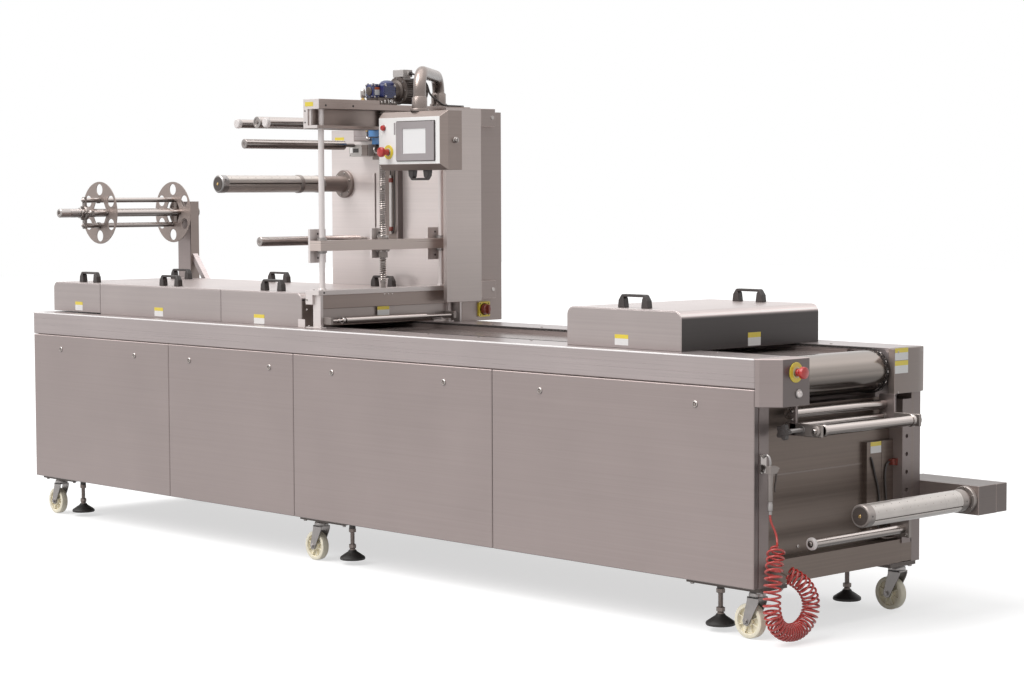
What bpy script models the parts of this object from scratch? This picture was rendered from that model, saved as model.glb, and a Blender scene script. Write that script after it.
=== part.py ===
# Thermoforming packaging machine, built as an assembly of named pieces.
# Shop axes: X runs along the machine to the film infeed end, Y from the operator's side to the
# rear, Z up from the floor. The operator's side panels stand at Y 0, the infeed end at X 0.
# A parent empty then shifts everything so that the origin is the middle of the footprint.
import math

import bmesh
import bpy
from mathutils import Matrix, Vector

# General fits
GAP = 0.0003            # clearance between touching pieces
LAP = 0.002             # how far welded shapes run into each other
OVERRUN = 0.01          # how far a cut runs past the face it opens
RUNNING = 0.001         # radial clearance of a sliding bush on its column

# Body
BODY_LENGTH = 4.574
BODY_WIDTH = 0.938
DECK_Z = 0.98
BEAM_BOTTOM = 0.877
PANEL_BOTTOM = 0.186
PANEL_DEPTH = 0.026
PANEL_SEAM = 0.003
SEAM_X = (-1.314, -2.544, -3.450)
BEAM_TOP_WIDTH = 0.193
CORE_DROP = 0.180        # the tool space's floor below the deck
CORE_TOP = DECK_Z - CORE_DROP
RECESS = 0.060          # how far the infeed end plate is set back
END_PLATE_THICK = 0.004
POST_SIDE = 0.050
LOWER_PANEL_TOP = 0.275
EDGE_ROUND = 0.003
MIDDLE_Y = BODY_WIDTH / 2

# Corner blocks
BLOCK_BOTTOM = 0.815
BLOCK_Y = 0.198
NEAR_BLOCK_X = 0.080
FAR_BLOCK_X = 0.030
NEAR_CHAMFER = 0.060
FAR_CHAMFER_X = 0.018
FAR_CHAMFER_Y = 0.054
STOP_Y = 0.123
STOP_Z = 0.932
STOP_PLATE_R = 0.035
STOP_PLATE_THICK = 0.004
STOP_STEM_R = 0.015
STOP_STEM = 0.030
STOP_HEAD_R = 0.021
STOP_HEAD = 0.020
BUTTON_Y = 0.138
BUTTON_Z = 0.857
BUTTON_R = 0.015
BUTTON_OUT = 0.012

# Film track, clip chains and infeed drum
TRACK_END = 0.170
TRACK_LEFT = 0.002
TRACK_DROP = 0.025
TRACK_TOP = DECK_Z - TRACK_DROP
TRACK_THICK = 0.020
CHAIN_INSET = 0.0175     # from the beam's inner edge to the chain's middle
CHAIN_OFFSET = MIDDLE_Y - BEAM_TOP_WIDTH - CHAIN_INSET
CHAIN_WIDTH = 0.012
CHAIN_THICK = 0.008
CHAIN_R = 0.083
CHAIN_SIDES = 24
CHAIN_LEFT_X = -4.400
RAIL_WIDTH = 0.018
DRUM_X = -0.070
DRUM_R = 0.075
DRUM_END_GAP = 0.006
SPROCKET_R = 0.071
SPROCKET_THICK = 0.008
SHAFT_R = 0.015
SHAFT_END_GAP = 0.0006

# Lift-off covers and forming hood
COVER_FRONT = 0.100
COVER_REAR = BODY_WIDTH - COVER_FRONT
COVER_TOP = 1.125
COVER_X = (-4.549, -4.144, -3.184, -2.556)
COVER_CORNER = 0.032
COVER_SEAM = 0.002
HOOD_X = (-0.990, -0.413)
HOOD_FRONT = 0.085
HANDLE_WIDE = 0.165
HANDLE_HIGH = 0.050
HANDLE_DEEP = 0.026
HANDLE_BAR = 0.011
HANDLE_LEG = 0.036
HANDLE_TAPER = 0.018
HANDLE_INSET = 0.065
CORNER_STEPS = 6

# Portal over the sealing station
PORTAL_X = -2.506
PORTAL_LEFT = -2.550
PORTAL_RIGHT = -2.446
PORTAL_FRONT = 0.074
PORTAL_REAR_INSET = 0.104
PORTAL_REAR = BODY_WIDTH - PORTAL_REAR_INSET
COLUMN_INSET = 0.133
COLUMN_OFFSET = MIDDLE_Y - COLUMN_INSET
COLUMN_R = 0.0125
BASE_BEAM_Z = (1.120, 1.140)
LEG_THICK = 0.015
LEG_INSET = 0.011
LEG_FOOT = 0.006
LEG_FOOT_OUT = 0.014
SKIRT_X = -2.490
SKIRT_THICK = 0.010
SKIRT_BOTTOM = 1.000
SKIRT_STEP_Z = 1.062
TOP_BEAM_Z = (1.820, 1.925)
TOP_PLATE = 0.020
TOP_WEB = 0.016
TOP_FLANGE = 0.008
TOP_FLANGE_OUT = 0.040
TOP_BEAM_REAR_INSET = 0.008
TOP_BEAM_REAR = BODY_WIDTH - TOP_BEAM_REAR_INSET
SCREW_R = 0.0145
SCREW_COLLAR_R = 0.024
SCREW_COLLAR = 0.018
STATION_ROLLER_X = -2.425
STATION_ROLLER_Z = 1.012
STATION_ROLLER_R = 0.014
STATION_ROLLER_Y = (0.190, 0.640)
STATION_ROD_R = 0.007
STATION_LUG = 0.030
STATION_LUG_THICK = 0.014

# Lift beam
LIFT_Z = (1.306, 1.349)
LIFT_FRONT = 0.088
BUSH_R = 0.021
BUSH_OUT = 0.013
NUT_R = 0.026
NUT_OUT = 0.036
LIFT_PLATE_THICK = 0.012
LIFT_PLATE_Z = (1.255, 1.397)
LIFT_PLATE_WIDE = 0.085

# Drive on top of the portal
BASE_BLOCK = (0.130, 0.110, 0.030)
GEARBOX_SIZE = (0.125, 0.150, 0.062)
GEARBOX_DOME_R = 0.036
DOME_OUT = 0.018
MOTOR_R = 0.058
MOTOR_LENGTH = 0.150
MOTOR_FLANGE_R = 0.062
MOTOR_FLANGE = 0.012
TERMINAL_SIZE = (0.090, 0.085, 0.036)

# Rear wall and cabinet
WALL_X = (-3.310, -2.4223)
WALL_Y = COVER_REAR + COVER_SEAM
WALL_THICK = 0.012
WALL_TOP = 1.840
WALL_SLOT_X = -2.995
WALL_SLOT_Z = (1.388, 1.640)
WALL_SLOT_WIDE = 0.012
CABINET_DEEP = 0.250
CABINET_REAR = WALL_Y + CABINET_DEEP
TOWER_X = (-2.550, -2.420)
TOWER_TOP = 1.9047
TOWER_COVER_THICK = 0.020
TOWER_COVER_AHEAD = 0.095
TOWER_COVER_BEHIND = 0.110
TOWER_COVER_Y = (WALL_Y - TOWER_COVER_AHEAD, WALL_Y + TOWER_COVER_BEHIND)
TOWER_COVER_Z = (1.070, 1.918)
LOCK_BOX_DEEP = 0.086
LOCK_BOX_REAR = TOWER_COVER_Y[1] + LOCK_BOX_DEEP
LOCK_BOX_HIGH = 0.076
SWITCH_SETBACK = 0.137
SWITCH_Y = WALL_Y + SWITCH_SETBACK
SWITCH_Z = 1.031
SWITCH_PLATE = 0.066
SWITCH_PLATE_THICK = 0.009
SWITCH_KNOB_R = 0.024
SWITCH_KNOB = 0.022
SWITCH_GRIP = 0.010
SWITCH_GRIP_OUT = 0.012
SWITCH_GRIP_HIGH = 0.0432
CABLE_CHANNEL_X = (-2.897, -2.806)
CABLE_CHANNEL_Z = (1.310, 1.700)
CABLE_CHANNEL_DEEP = 0.028

# Top film shaft and idler rollers on the rear wall
ROLLER_SIDES = 16
TOP_BRACKET_X = (-3.100, -2.815)
TOP_BRACKET_Z = (1.785, 1.886)
TOP_BRACKET_DEEP = 0.040
FILM_SHAFT_X = -3.211
FILM_SHAFT_Z = 1.591
FILM_SHAFT_FRONT = 0.112
FILM_SHAFT_R = 0.0395
FILM_NECK_OUT = 0.143
FILM_NECK_FRONT = WALL_Y - FILM_NECK_OUT
FILM_NECK_R = 0.036
FILM_FLANGE_R = 0.064
FILM_FLANGE = 0.018
ROLLER_A_X = -3.055
ROLLER_B_X = -2.905
ROLLER_C_X = -2.852
UPPER_ROLLER_Z = 1.853
UPPER_ROLLER_FRONT = 0.100
ROLLER_A_R = 0.018
ROLLER_B_R = 0.022
CAP_R = 0.021
CAP_THICK = 0.018
ROLLER_D_X = -3.050
ROLLER_D_Z = 1.766
ROLLER_D_FRONT = 0.145
ROLLER_D_BACK_GAP = 0.140
ROLLER_D_Y = (ROLLER_D_FRONT, WALL_Y - ROLLER_D_BACK_GAP)
ROLLER_D_R = 0.0155
ROLLER_D_ROD_R = 0.008
CYLINDER_BOX_X = (-3.086, -2.950)
CYLINDER_BOX_BELOW = 0.044
CYLINDER_BOX_ABOVE = 0.014
CYLINDER_BOX_Z = (ROLLER_D_Z - CYLINDER_BOX_BELOW, ROLLER_D_Z + CYLINDER_BOX_ABOVE)
CYLINDER_BOX_DEEP = 0.080
ROLLER_F_X = -3.070
ROLLER_F_Z = 1.335
ROLLER_F_FRONT = 0.231
ROLLER_F_BOSS = 0.040
ROLLER_F_Y = (ROLLER_F_FRONT, WALL_Y - ROLLER_F_BOSS)
ROLLER_F_R = 0.021
AXLE_BOSS_R = 0.013

# Operator panel on its swinging pipe arm
PANEL_BOX_X = (-2.385, -1.972)
PANEL_BOX_Y = (0.350, 0.450)
PANEL_BOX_Z = (1.643, 1.888)
ARM_PIVOT_X = -2.500
ARM_PIVOT_INSET = 0.140
ARM_PIVOT = (ARM_PIVOT_X, TOP_BEAM_REAR - ARM_PIVOT_INSET)
ARM_HEAD = (-2.180, 0.400)
ARM_RISE = 0.167
ARM_TOP = PANEL_BOX_Z[1] + ARM_RISE
ARM_R = 0.0265
ARM_BEND = 0.085
ARM_COLLAR_R = 0.0325
ARM_COLLAR = 0.045
ARM_FLANGE_R = 0.0385
ARM_FLANGE = 0.012
PANEL_PULL_WIDE = 0.130
PANEL_PULL_HIGH = 0.042
PANEL_PULL_DEEP = 0.024
PANEL_STOP_X = -2.322
PANEL_STOP_Z = 1.720
PANEL_STOP_PLATE_R = 0.030

# Scrap rewinder at the discharge end
POST_X = (-4.610, -4.500)
POST_INSET = 0.008
POST_DEEP = 0.050
POST_Y = (BODY_WIDTH - POST_INSET - POST_DEEP, BODY_WIDTH - POST_INSET)
POST_TOP = 1.509
REEL_Z = 1.456
REEL_FRONT_Y = 0.385
REEL_POST_GAP = 0.060
REEL_REAR_Y = POST_Y[0] - REEL_POST_GAP
REEL_R = 0.153
REEL_THICK = 0.004
REEL_HOLES = 6
REEL_HOLE_R = 0.0275
REEL_HOLE_PITCH = 0.114
REEL_HEX_R = 0.066
REEL_BARS = 4
REEL_BAR_R = 0.009
REEL_BAR_PITCH = 0.062
REEL_SHAFT_R = 0.018
REEL_TIP_Y = 0.140
REEL_TIP_R = 0.022
REEL_TIP = 0.055
REEL_SPIDER_Y = 0.280
REEL_SPIDER_R = 0.042
REEL_SPIDER = 0.014
REEL_WING = 0.060
REEL_WING_THICK = 0.010
BRACE_RUN = 0.230
BRACE_SIDE = 0.036
BRACE_DEEP = 0.030

# Bottom film unwinder at the infeed end
UNWIND_ARM_X = (-0.120, 0.260)
UNWIND_ARM_DEEP = 0.177
UNWIND_ARM_Y = (BODY_WIDTH + GAP, BODY_WIDTH + UNWIND_ARM_DEEP)
UNWIND_ARM_Z = (0.376, 0.482)
UNWIND_X = 0.205
UNWIND_Z = 0.430
UNWIND_FRONT = 0.320
UNWIND_R = 0.041
UNWIND_FLANGE_R = 0.050
UNWIND_FLANGE = 0.016
RAIL_INSET = 0.061
RAIL_WIDE = 0.053
RAIL_Y = (BODY_WIDTH - RAIL_INSET - RAIL_WIDE, BODY_WIDTH - RAIL_INSET)
RAIL_OUT = 0.004
RAIL_Z = (0.260, 0.790)
RAIL_HOLE_R = 0.008
RAIL_HOLE_PITCH = 0.066
RAIL_FIRST_HOLE = 0.455
RAIL_HOLE_DEEP = 0.012
DUCT_WIDE = 0.155
DUCT_SEAM = 0.0695
DUCT_FRONT = RAIL_Y[0] - DUCT_WIDE
DUCT_Z = (0.300, 0.640)
DUCT_OUT = 0.022
LOW_ROLLER_X = 0.055
LOW_ROLLER_Z = 0.326
LOW_ROLLER_FRONT = 0.245
LOW_ROLLER_BACK_GAP = 0.067
LOW_ROLLER_Y = (LOW_ROLLER_FRONT, RAIL_Y[0] - LOW_ROLLER_BACK_GAP)
LOW_ROLLER_R = 0.017
LOW_CAP_R = 0.0225
LOW_BRACKET_Z = (0.296, 0.372)
LOW_BRACKET_OUT = 0.085
LOW_BRACKET_THICK = 0.014

# Rollers under the drum and the hinged guide roller
END_ROLLER_X = -0.018
END_ROLLER_Z = 0.777
END_ROLLER_R = 0.018
FIXED_BAR_X = -0.018
FIXED_BAR_Z = 0.733
FIXED_BAR_R = 0.012
GUIDE_X = 0.120
GUIDE_Z = 0.728
GUIDE_R = 0.019
GUIDE_COLLAR_R = 0.0225
GUIDE_COLLAR = 0.014
GUIDE_ARM_HIGH = 0.044
GUIDE_ARM_THICK = 0.012
HANGER_X = (-0.040, 0.030)
HANGER_Z = 0.705
KNOB_X = 0.055
KNOB_Y = 0.105
KNOB_R = 0.029
KNOB_THICK = 0.026
KNOB_LOBES = 5
KNOB_WAIST_SHARE = 0.14
KNOB_ROD_R = 0.008

# Castors
CASTOR_X = (-0.045, -2.450, -4.463)
CASTOR_Y = 0.072
CASTOR_PLATE_BOTTOM = 0.174
TRAIL = 0.031
WHEEL_R = 0.0615
WHEEL_WIDTH = 0.034
WHEEL_LIFT = 0.001
WHEEL_WEB = 0.014
WHEEL_RIM_R = 0.047
WHEEL_HUB_R = 0.018
AXLE_R = 0.006
WHEEL_BORE_R = AXLE_R + GAP * 2
FORK_THICK = 0.004
FORK_GAP = 0.004
FORK_FOOT_R = 0.015
FORK_HEAD_R = 0.030
FORK_HEAD_Z = (0.150, 0.166)
FORK_STEM_R = 0.012
FORK_NECK = 0.052

# Levelling feet
FOOT_X = (-0.249, -2.294, -4.335)
FOOT_Y = 0.112
FOOT_R = 0.053
FOOT_EDGE = 0.012
FOOT_CONE = 0.040
FOOT_TOP_R = 0.014
STEM_R = 0.009
NUT_AF_R = 0.016
NUT_HIGH = 0.016
MOUNT_PLATE_LEFT = 0.085
MOUNT_PLATE_RIGHT = 0.045
MOUNT_PLATE_Y = PANEL_DEPTH + GAP
MOUNT_PLATE_DEEP = 0.150

# Blow gun and curly air hose on the near post
GUN_X = 0.034
GUN_Y = 0.045
GUN_R = 0.011
GUN_Z = (0.490, 0.612)
GUN_HEAD = 0.030
GUN_HEAD_HIGH = 0.026
GUN_HOOK_HIGH = 0.040
GUN_HOLDER_THICK = 0.004
GUN_HOLDER_Z = (0.585, 0.665)
GUN_FITTING_R = 0.009
GUN_FITTING_Z = 0.446
GUN_TRIGGER = 0.006
NOZZLE_R = 0.004
NOZZLE_OUT = 0.045
HOSE_R = 0.004
COIL_R = 0.033
FITTING_R = 0.008

# Route of the straight end of the air hose, from the gun to the coil
HOSE_ROUTE = (
    (0.034, 0.045, 0.4457), (0.0343, 0.0455, 0.432), (0.0365, 0.050, 0.415), (0.041, 0.0575, 0.396),
    (0.0465, 0.062, 0.377), (0.0563, 0.0557, 0.3546), (0.06192, 0.04615, 0.33825),
)
# Middle line of the coiled stretch, which hangs in a loop just above the floor
COIL_ROUTE = (
    (0.062, 0.046, 0.338), (0.076, 0.022, 0.297), (0.088, 0.000, 0.250), (0.090, -0.008, 0.193),
    (0.090, -0.010, 0.132), (0.090, 0.008, 0.082), (0.090, 0.047, 0.051), (0.090, 0.091, 0.041),
    (0.090, 0.134, 0.046), (0.090, 0.176, 0.072), (0.090, 0.197, 0.113), (0.088, 0.191, 0.156),
    (0.082, 0.166, 0.194), (0.070, 0.138, 0.219), (0.054, 0.118, 0.232),
)
FITTING_REACH = 0.030   # straight stretch of the fixed fitting where the coil's end meets it

X_MIN = sum(POST_X) / 2 - REEL_R
X_MAX = UNWIND_ARM_X[1]
Y_MAX = UNWIND_ARM_Y[1]
PART = "thermoforming_packaging_machine"
CUTTERS = "cutters"


def start_scene():
    """Empties the file and makes the collections and the parent empty."""
    for old in list(bpy.data.objects):
        bpy.data.objects.remove(old, do_unlink=True)
    for old in list(bpy.data.collections):
        bpy.data.collections.remove(old)
    for name in (PART, CUTTERS):
        bpy.context.scene.collection.children.link(bpy.data.collections.new(name))
    origin = bpy.data.objects.new("footprint_middle", None)
    origin.location = (-(X_MIN + X_MAX) / 2, -Y_MAX / 2, 0)
    bpy.data.collections[PART].objects.link(origin)
    return origin


def make_material(name, colour, roughness, metallic):
    """A Principled material with a plain colour."""
    material = bpy.data.materials.new(name)
    material.use_nodes = True
    shader = material.node_tree.nodes["Principled BSDF"]
    shader.inputs["Base Color"].default_value = (*colour, 1)
    shader.inputs["Roughness"].default_value = roughness
    shader.inputs["Metallic"].default_value = metallic
    material.diffuse_color = (*colour, 1)
    return material


def shape_object(bm):
    """Turns a bmesh into a working object."""
    mesh = bpy.data.meshes.new("shape")
    bm.to_mesh(mesh)
    bm.free()
    shape = bpy.data.objects.new("shape", mesh)
    bpy.data.collections[CUTTERS].objects.link(shape)
    return shape


def block(x, y, z):
    """A box between two places on each axis."""
    bm = bmesh.new()
    bmesh.ops.create_cube(bm, size=1)
    size = Vector((x[1] - x[0], y[1] - y[0], z[1] - z[0]))
    middle = Vector(((x[0] + x[1]) / 2, (y[0] + y[1]) / 2, (z[0] + z[1]) / 2))
    bmesh.ops.transform(bm, matrix=Matrix.Translation(middle) @ Matrix.Diagonal((*size, 1)), verts=bm.verts)
    return shape_object(bm)


def around(middle, size):
    """Both ends of a length that is centred on a place."""
    return (middle - size / 2, middle + size / 2)


def axis_matrix(axis, at, span):
    """Places a shape that was made along Z on a row axis."""
    middle = (span[0] + span[1]) / 2
    if axis == "X":
        return Matrix.Translation((middle, at[0], at[1])) @ Matrix.Rotation(math.pi / 2, 4, "Y")
    if axis == "Y":
        return Matrix.Translation((at[0], middle, at[1])) @ Matrix.Rotation(-math.pi / 2, 4, "X")
    return Matrix.Translation((at[0], at[1], middle))


def rod(axis, at, span, radius, end_radius=None, sides=ROLLER_SIDES):
    """A cylinder or cone along a row axis; at holds its other two coordinates."""
    bm = bmesh.new()
    top = radius if end_radius is None else end_radius
    bmesh.ops.create_cone(
        bm, cap_ends=True, segments=sides, radius1=radius, radius2=top, depth=span[1] - span[0])
    bmesh.ops.transform(bm, matrix=axis_matrix(axis, at, span), verts=bm.verts)
    return shape_object(bm)


def prism(axis, outline, span):
    """A flat outline, given in the plane across a row axis, with thickness along it."""
    curve = bpy.data.curves.new("outline", "CURVE")
    curve.dimensions = "2D"
    curve.fill_mode = "BOTH"
    curve.extrude = (span[1] - span[0]) / 2
    spline = curve.splines.new("POLY")
    spline.points.add(len(outline) - 1)
    for point, (u, v) in zip(spline.points, outline):
        point.co = (u, v, 0, 1)
    spline.use_cyclic_u = True
    guide = bpy.data.objects.new("outline", curve)
    bpy.data.collections[CUTTERS].objects.link(guide)
    middle = (span[0] + span[1]) / 2
    if axis == "X":
        place = Matrix(((0, 0, 1, middle), (1, 0, 0, 0), (0, 1, 0, 0), (0, 0, 0, 1)))
    elif axis == "Y":
        place = Matrix(((1, 0, 0, 0), (0, 0, -1, middle), (0, 1, 0, 0), (0, 0, 0, 1)))
    else:
        place = Matrix.Translation((0, 0, middle))
    return curve_to_shape(guide, place)


def curve_to_shape(guide, place):
    """Makes a closed mesh shape of a curve object, and removes the curve."""
    bpy.context.view_layer.update()
    seen = guide.evaluated_get(bpy.context.evaluated_depsgraph_get())
    mesh = bpy.data.meshes.new_from_object(seen)
    bpy.data.objects.remove(guide, do_unlink=True)
    bm = bmesh.new()
    bm.from_mesh(mesh)
    bpy.data.meshes.remove(mesh)
    bmesh.ops.remove_doubles(bm, verts=bm.verts, dist=GAP / 30)
    bmesh.ops.transform(bm, matrix=place, verts=bm.verts)
    bmesh.ops.recalc_face_normals(bm, faces=bm.faces)
    return shape_object(bm)


def tube(route, radius, resolution=3):
    """A round tube along a list of points."""
    curve = bpy.data.curves.new("route", "CURVE")
    curve.dimensions = "3D"
    curve.bevel_depth = radius
    curve.bevel_resolution = resolution
    curve.use_fill_caps = True
    spline = curve.splines.new("POLY")
    spline.points.add(len(route) - 1)
    for point, place in zip(spline.points, route):
        point.co = (*place, 1)
    guide = bpy.data.objects.new("route", curve)
    bpy.data.collections[CUTTERS].objects.link(guide)
    return curve_to_shape(guide, Matrix.Identity(4))


def turned(profile, axis, at, start, steps=24):
    """A profile of radius and distance pairs, turned about a row axis."""
    bm = bmesh.new()
    points = [bm.verts.new((radius, 0, height)) for radius, height in profile]
    for first, second in zip(points, points[1:]):
        bm.edges.new((first, second))
    if profile[0][0] > 0:
        bm.edges.new((points[-1], points[0]))
    shape = shape_object(bm)
    screw = shape.modifiers.new("turn", "SCREW")
    screw.axis = "Z"
    screw.steps = steps
    screw.render_steps = steps
    screw.use_merge_vertices = True
    screw.merge_threshold = GAP / 30
    bpy.context.view_layer.update()
    mesh = bpy.data.meshes.new_from_object(shape.evaluated_get(bpy.context.evaluated_depsgraph_get()))
    bpy.data.objects.remove(shape, do_unlink=True)
    bm = bmesh.new()
    bm.from_mesh(mesh)
    bpy.data.meshes.remove(mesh)
    bmesh.ops.transform(bm, matrix=axis_matrix(axis, at, (start, start)), verts=bm.verts)
    bmesh.ops.recalc_face_normals(bm, faces=bm.faces)
    return shape_object(bm)


def combine(base, others, operation):
    """Joins the other shapes to the first, or cuts them from it."""
    for other in others:
        tool = base.modifiers.new(operation.lower(), "BOOLEAN")
        tool.operation = operation
        tool.solver = "EXACT"
        tool.object = other
    bpy.context.view_layer.update()
    seen = base.evaluated_get(bpy.context.evaluated_depsgraph_get())
    mesh = bpy.data.meshes.new_from_object(seen)
    base.modifiers.clear()
    base.data = mesh
    for other in others:
        bpy.data.objects.remove(other, do_unlink=True)


def piece(name, material, add, cut=(), at=(0, 0, 0), bevel=0, smooth=30):
    """One named closed body: the added shapes as one, less the cut shapes, with its origin at a place."""
    base = add[0]
    if len(add) > 1:
        combine(base, add[1:], "UNION")
    if cut:
        combine(base, list(cut), "DIFFERENCE")
    mesh = base.data
    mesh.transform(Matrix.Translation(-Vector(at)))
    mesh.materials.clear()
    mesh.materials.append(material)
    mesh.shade_smooth()
    mesh.set_sharp_from_angle(angle=math.radians(smooth))
    mesh.name = name
    done = bpy.data.objects.new(name, mesh)
    bpy.data.objects.remove(base, do_unlink=True)
    done.location = at
    done.parent = ORIGIN
    bpy.data.collections[PART].objects.link(done)
    if bevel:
        edge = done.modifiers.new("edge", "BEVEL")
        edge.width = bevel
        edge.segments = 1
        edge.limit_method = "ANGLE"
    return done


def arc(middle, radius, start, end, steps):
    """Points on an arc, angles in degrees."""
    points = []
    for step in range(steps + 1):
        angle = math.radians(start + (end - start) * step / steps)
        points.append((middle[0] + radius * math.cos(angle), middle[1] + radius * math.sin(angle)))
    return points


def smooth_route(route, spacing):
    """Evenly spaced points on a smooth curve through the given points."""
    dense = []
    last = len(route) - 1
    for index in range(last):
        corners = [Vector(route[min(max(index + shift, 0), last)]) for shift in (-1, 0, 1, 2)]
        for step in range(20):
            t = step / 20
            dense.append(
                0.5 * (2 * corners[1] + (corners[2] - corners[0]) * t
                       + (2 * corners[0] - 5 * corners[1] + 4 * corners[2] - corners[3]) * t * t
                       + (3 * corners[1] - corners[0] - 3 * corners[2] + corners[3]) * t ** 3))
    dense.append(Vector(route[-1]))
    length = sum((b - a).length for a, b in zip(dense, dense[1:]))
    count = max(2, round(length / spacing))
    points = [dense[0]]
    travelled = 0
    for first, second in zip(dense, dense[1:]):
        travelled += (second - first).length
        if travelled >= length * len(points) / count and len(points) < count:
            points.append(second)
    points.append(dense[-1])
    return points


def pull_handle(x, y, z, wide=HANDLE_WIDE, high=HANDLE_HIGH, deep=HANDLE_DEEP, up=1):
    """A moulded bow handle with tapered legs, standing on a face or hanging under it."""
    outer = [
        (x - wide / 2, -LAP), (x - wide / 2, high - HANDLE_TAPER), (x - wide / 2 + HANDLE_TAPER, high),
        (x + wide / 2 - HANDLE_TAPER, high), (x + wide / 2, high - HANDLE_TAPER), (x + wide / 2, -LAP),
        (x + wide / 2 - HANDLE_LEG, -LAP), (x + wide / 2 - HANDLE_LEG, high - HANDLE_BAR),
        (x - wide / 2 + HANDLE_LEG, high - HANDLE_BAR), (x - wide / 2 + HANDLE_LEG, -LAP)]
    return prism("Y", [(u, z + up * v) for u, v in outer], around(y, deep))


def machine_body():
    """The closed housing with its rear panels, end posts and mounting plates."""
    inner_front = PANEL_DEPTH + GAP
    inner_rear = BODY_WIDTH - PANEL_DEPTH
    rib_front = BEAM_TOP_WIDTH
    rib_rear = BODY_WIDTH - BEAM_TOP_WIDTH
    left = -BODY_LENGTH
    right = -RECESS
    add = [
        block((left, right), (inner_front, inner_rear), (PANEL_BOTTOM, CORE_TOP)),
        block((left, right), (inner_front, rib_front), (CORE_TOP - LAP, BEAM_BOTTOM - GAP)),
        block((left, right), (rib_rear, inner_rear), (CORE_TOP - LAP, BEAM_BOTTOM - GAP)),
    ]
    posts = ((inner_front, inner_front + POST_SIDE), (inner_rear - POST_SIDE / 2, inner_rear))
    for post in posts:
        add.append(block((right - LAP, 0), post, (PANEL_BOTTOM, BLOCK_BOTTOM - GAP)))
    edges = [0, *SEAM_X, left]
    for bay_right, bay_left in zip(edges, edges[1:]):
        bay = (bay_left + PANEL_SEAM / 2, bay_right - PANEL_SEAM / 2)
        add.append(block(bay, (inner_rear - LAP, BODY_WIDTH), (PANEL_BOTTOM, BEAM_BOTTOM - PANEL_SEAM)))
    add.append(block((right - LAP, RAIL_OUT), RAIL_Y, RAIL_Z))
    for castor_x, foot_x in zip(CASTOR_X, FOOT_X):
        reach = sorted((castor_x, foot_x))
        for rear in (False, True):
            depth = (MOUNT_PLATE_Y, MOUNT_PLATE_Y + MOUNT_PLATE_DEEP)
            if rear:
                depth = (BODY_WIDTH - depth[1], BODY_WIDTH - depth[0])
            plate = (reach[0] - MOUNT_PLATE_LEFT, reach[1] + MOUNT_PLATE_RIGHT)
            add.append(block(plate, depth, (CASTOR_PLATE_BOTTOM, PANEL_BOTTOM + LAP)))
    cut = []
    for number in range(4):
        z = RAIL_FIRST_HOLE + number * RAIL_HOLE_PITCH
        span = (RAIL_OUT - RAIL_HOLE_DEEP, RAIL_OUT + OVERRUN)
        cut.append(rod("X", (sum(RAIL_Y) / 2, z), span, RAIL_HOLE_R, sides=12))
    bracket_y = LOW_ROLLER_Y[1] + LOW_BRACKET_THICK
    add.append(block((-LAP, LOW_BRACKET_OUT), around(bracket_y, LOW_BRACKET_THICK), LOW_BRACKET_Z))
    add.append(block((-LAP, FAR_BLOCK_X), (bracket_y, RAIL_Y[0] + LAP), LOW_BRACKET_Z))
    piece("machine_body", STEEL, add, cut)


def front_panels():
    """Four side panels on the operator's side."""
    edges = [0, *SEAM_X, -BODY_LENGTH]
    for number, (bay_right, bay_left) in enumerate(zip(edges, edges[1:]), 1):
        bay = (bay_left + PANEL_SEAM / 2, bay_right - PANEL_SEAM / 2)
        shape = block(bay, (0, PANEL_DEPTH), (PANEL_BOTTOM, BEAM_BOTTOM - PANEL_SEAM))
        piece(f"front_panel_{number}", STEEL, [shape], bevel=EDGE_ROUND)


def deck_beams():
    """The two long top beams; the rear one carries the rewinder's post and brace."""
    shape = block((-BODY_LENGTH, -GAP), (0, BEAM_TOP_WIDTH), (BEAM_BOTTOM, DECK_Z))
    piece("front_beam", STEEL, [shape], bevel=EDGE_ROUND)
    rear = (BODY_WIDTH - BEAM_TOP_WIDTH, BODY_WIDTH)
    shapes = [block((-BODY_LENGTH, -GAP), rear, (BEAM_BOTTOM, DECK_Z))]
    shapes.append(block(POST_X, POST_Y, (DECK_Z - LAP, POST_TOP)))
    foot = POST_X[1] + BRACE_RUN
    brace = [
        (POST_X[1] - LAP, DECK_Z + BRACE_RUN), (foot - BRACE_SIDE, DECK_Z - LAP),
        (foot, DECK_Z - LAP), (foot, DECK_Z), (POST_X[1], DECK_Z + BRACE_RUN + BRACE_SIDE),
        (POST_X[1] - LAP, DECK_Z + BRACE_RUN + BRACE_SIDE)]
    shapes.append(prism("Y", brace, around(sum(POST_Y) / 2, BRACE_DEEP)))
    piece("rear_beam", STEEL, shapes)


def end_plate():
    """The recessed infeed end plate with its cable duct and the cross panel below."""
    face = -RECESS + GAP
    inner = (PANEL_DEPTH + POST_SIDE + GAP * 3, RAIL_Y[0] - GAP * 2)
    add = [block((face, face + END_PLATE_THICK), inner, (LOWER_PANEL_TOP - LAP, CORE_TOP))]
    add.append(block((face, 0), inner, (PANEL_BOTTOM + LAP * 2, LOWER_PANEL_TOP)))
    add.append(block((face + LAP, face + DUCT_OUT), (DUCT_FRONT, inner[1]), DUCT_Z))
    hose_end = Vector(COIL_ROUTE[-1])
    way = (hose_end - Vector(COIL_ROUTE[-2])).normalized()
    elbow = hose_end + way * FITTING_REACH
    add.append(tube([(-LAP, elbow.y, elbow.z), elbow, hose_end + way * GAP], FITTING_R, 2))
    duct_face = face + DUCT_OUT
    groove_z = (DUCT_Z[0] - LAP, DUCT_Z[1] + LAP)
    groove = block((duct_face - LAP, duct_face + LAP), around(DUCT_FRONT + DUCT_WIDE - DUCT_SEAM, LAP), groove_z)
    piece("end_plate", DARK_STEEL, add, [groove])


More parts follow.
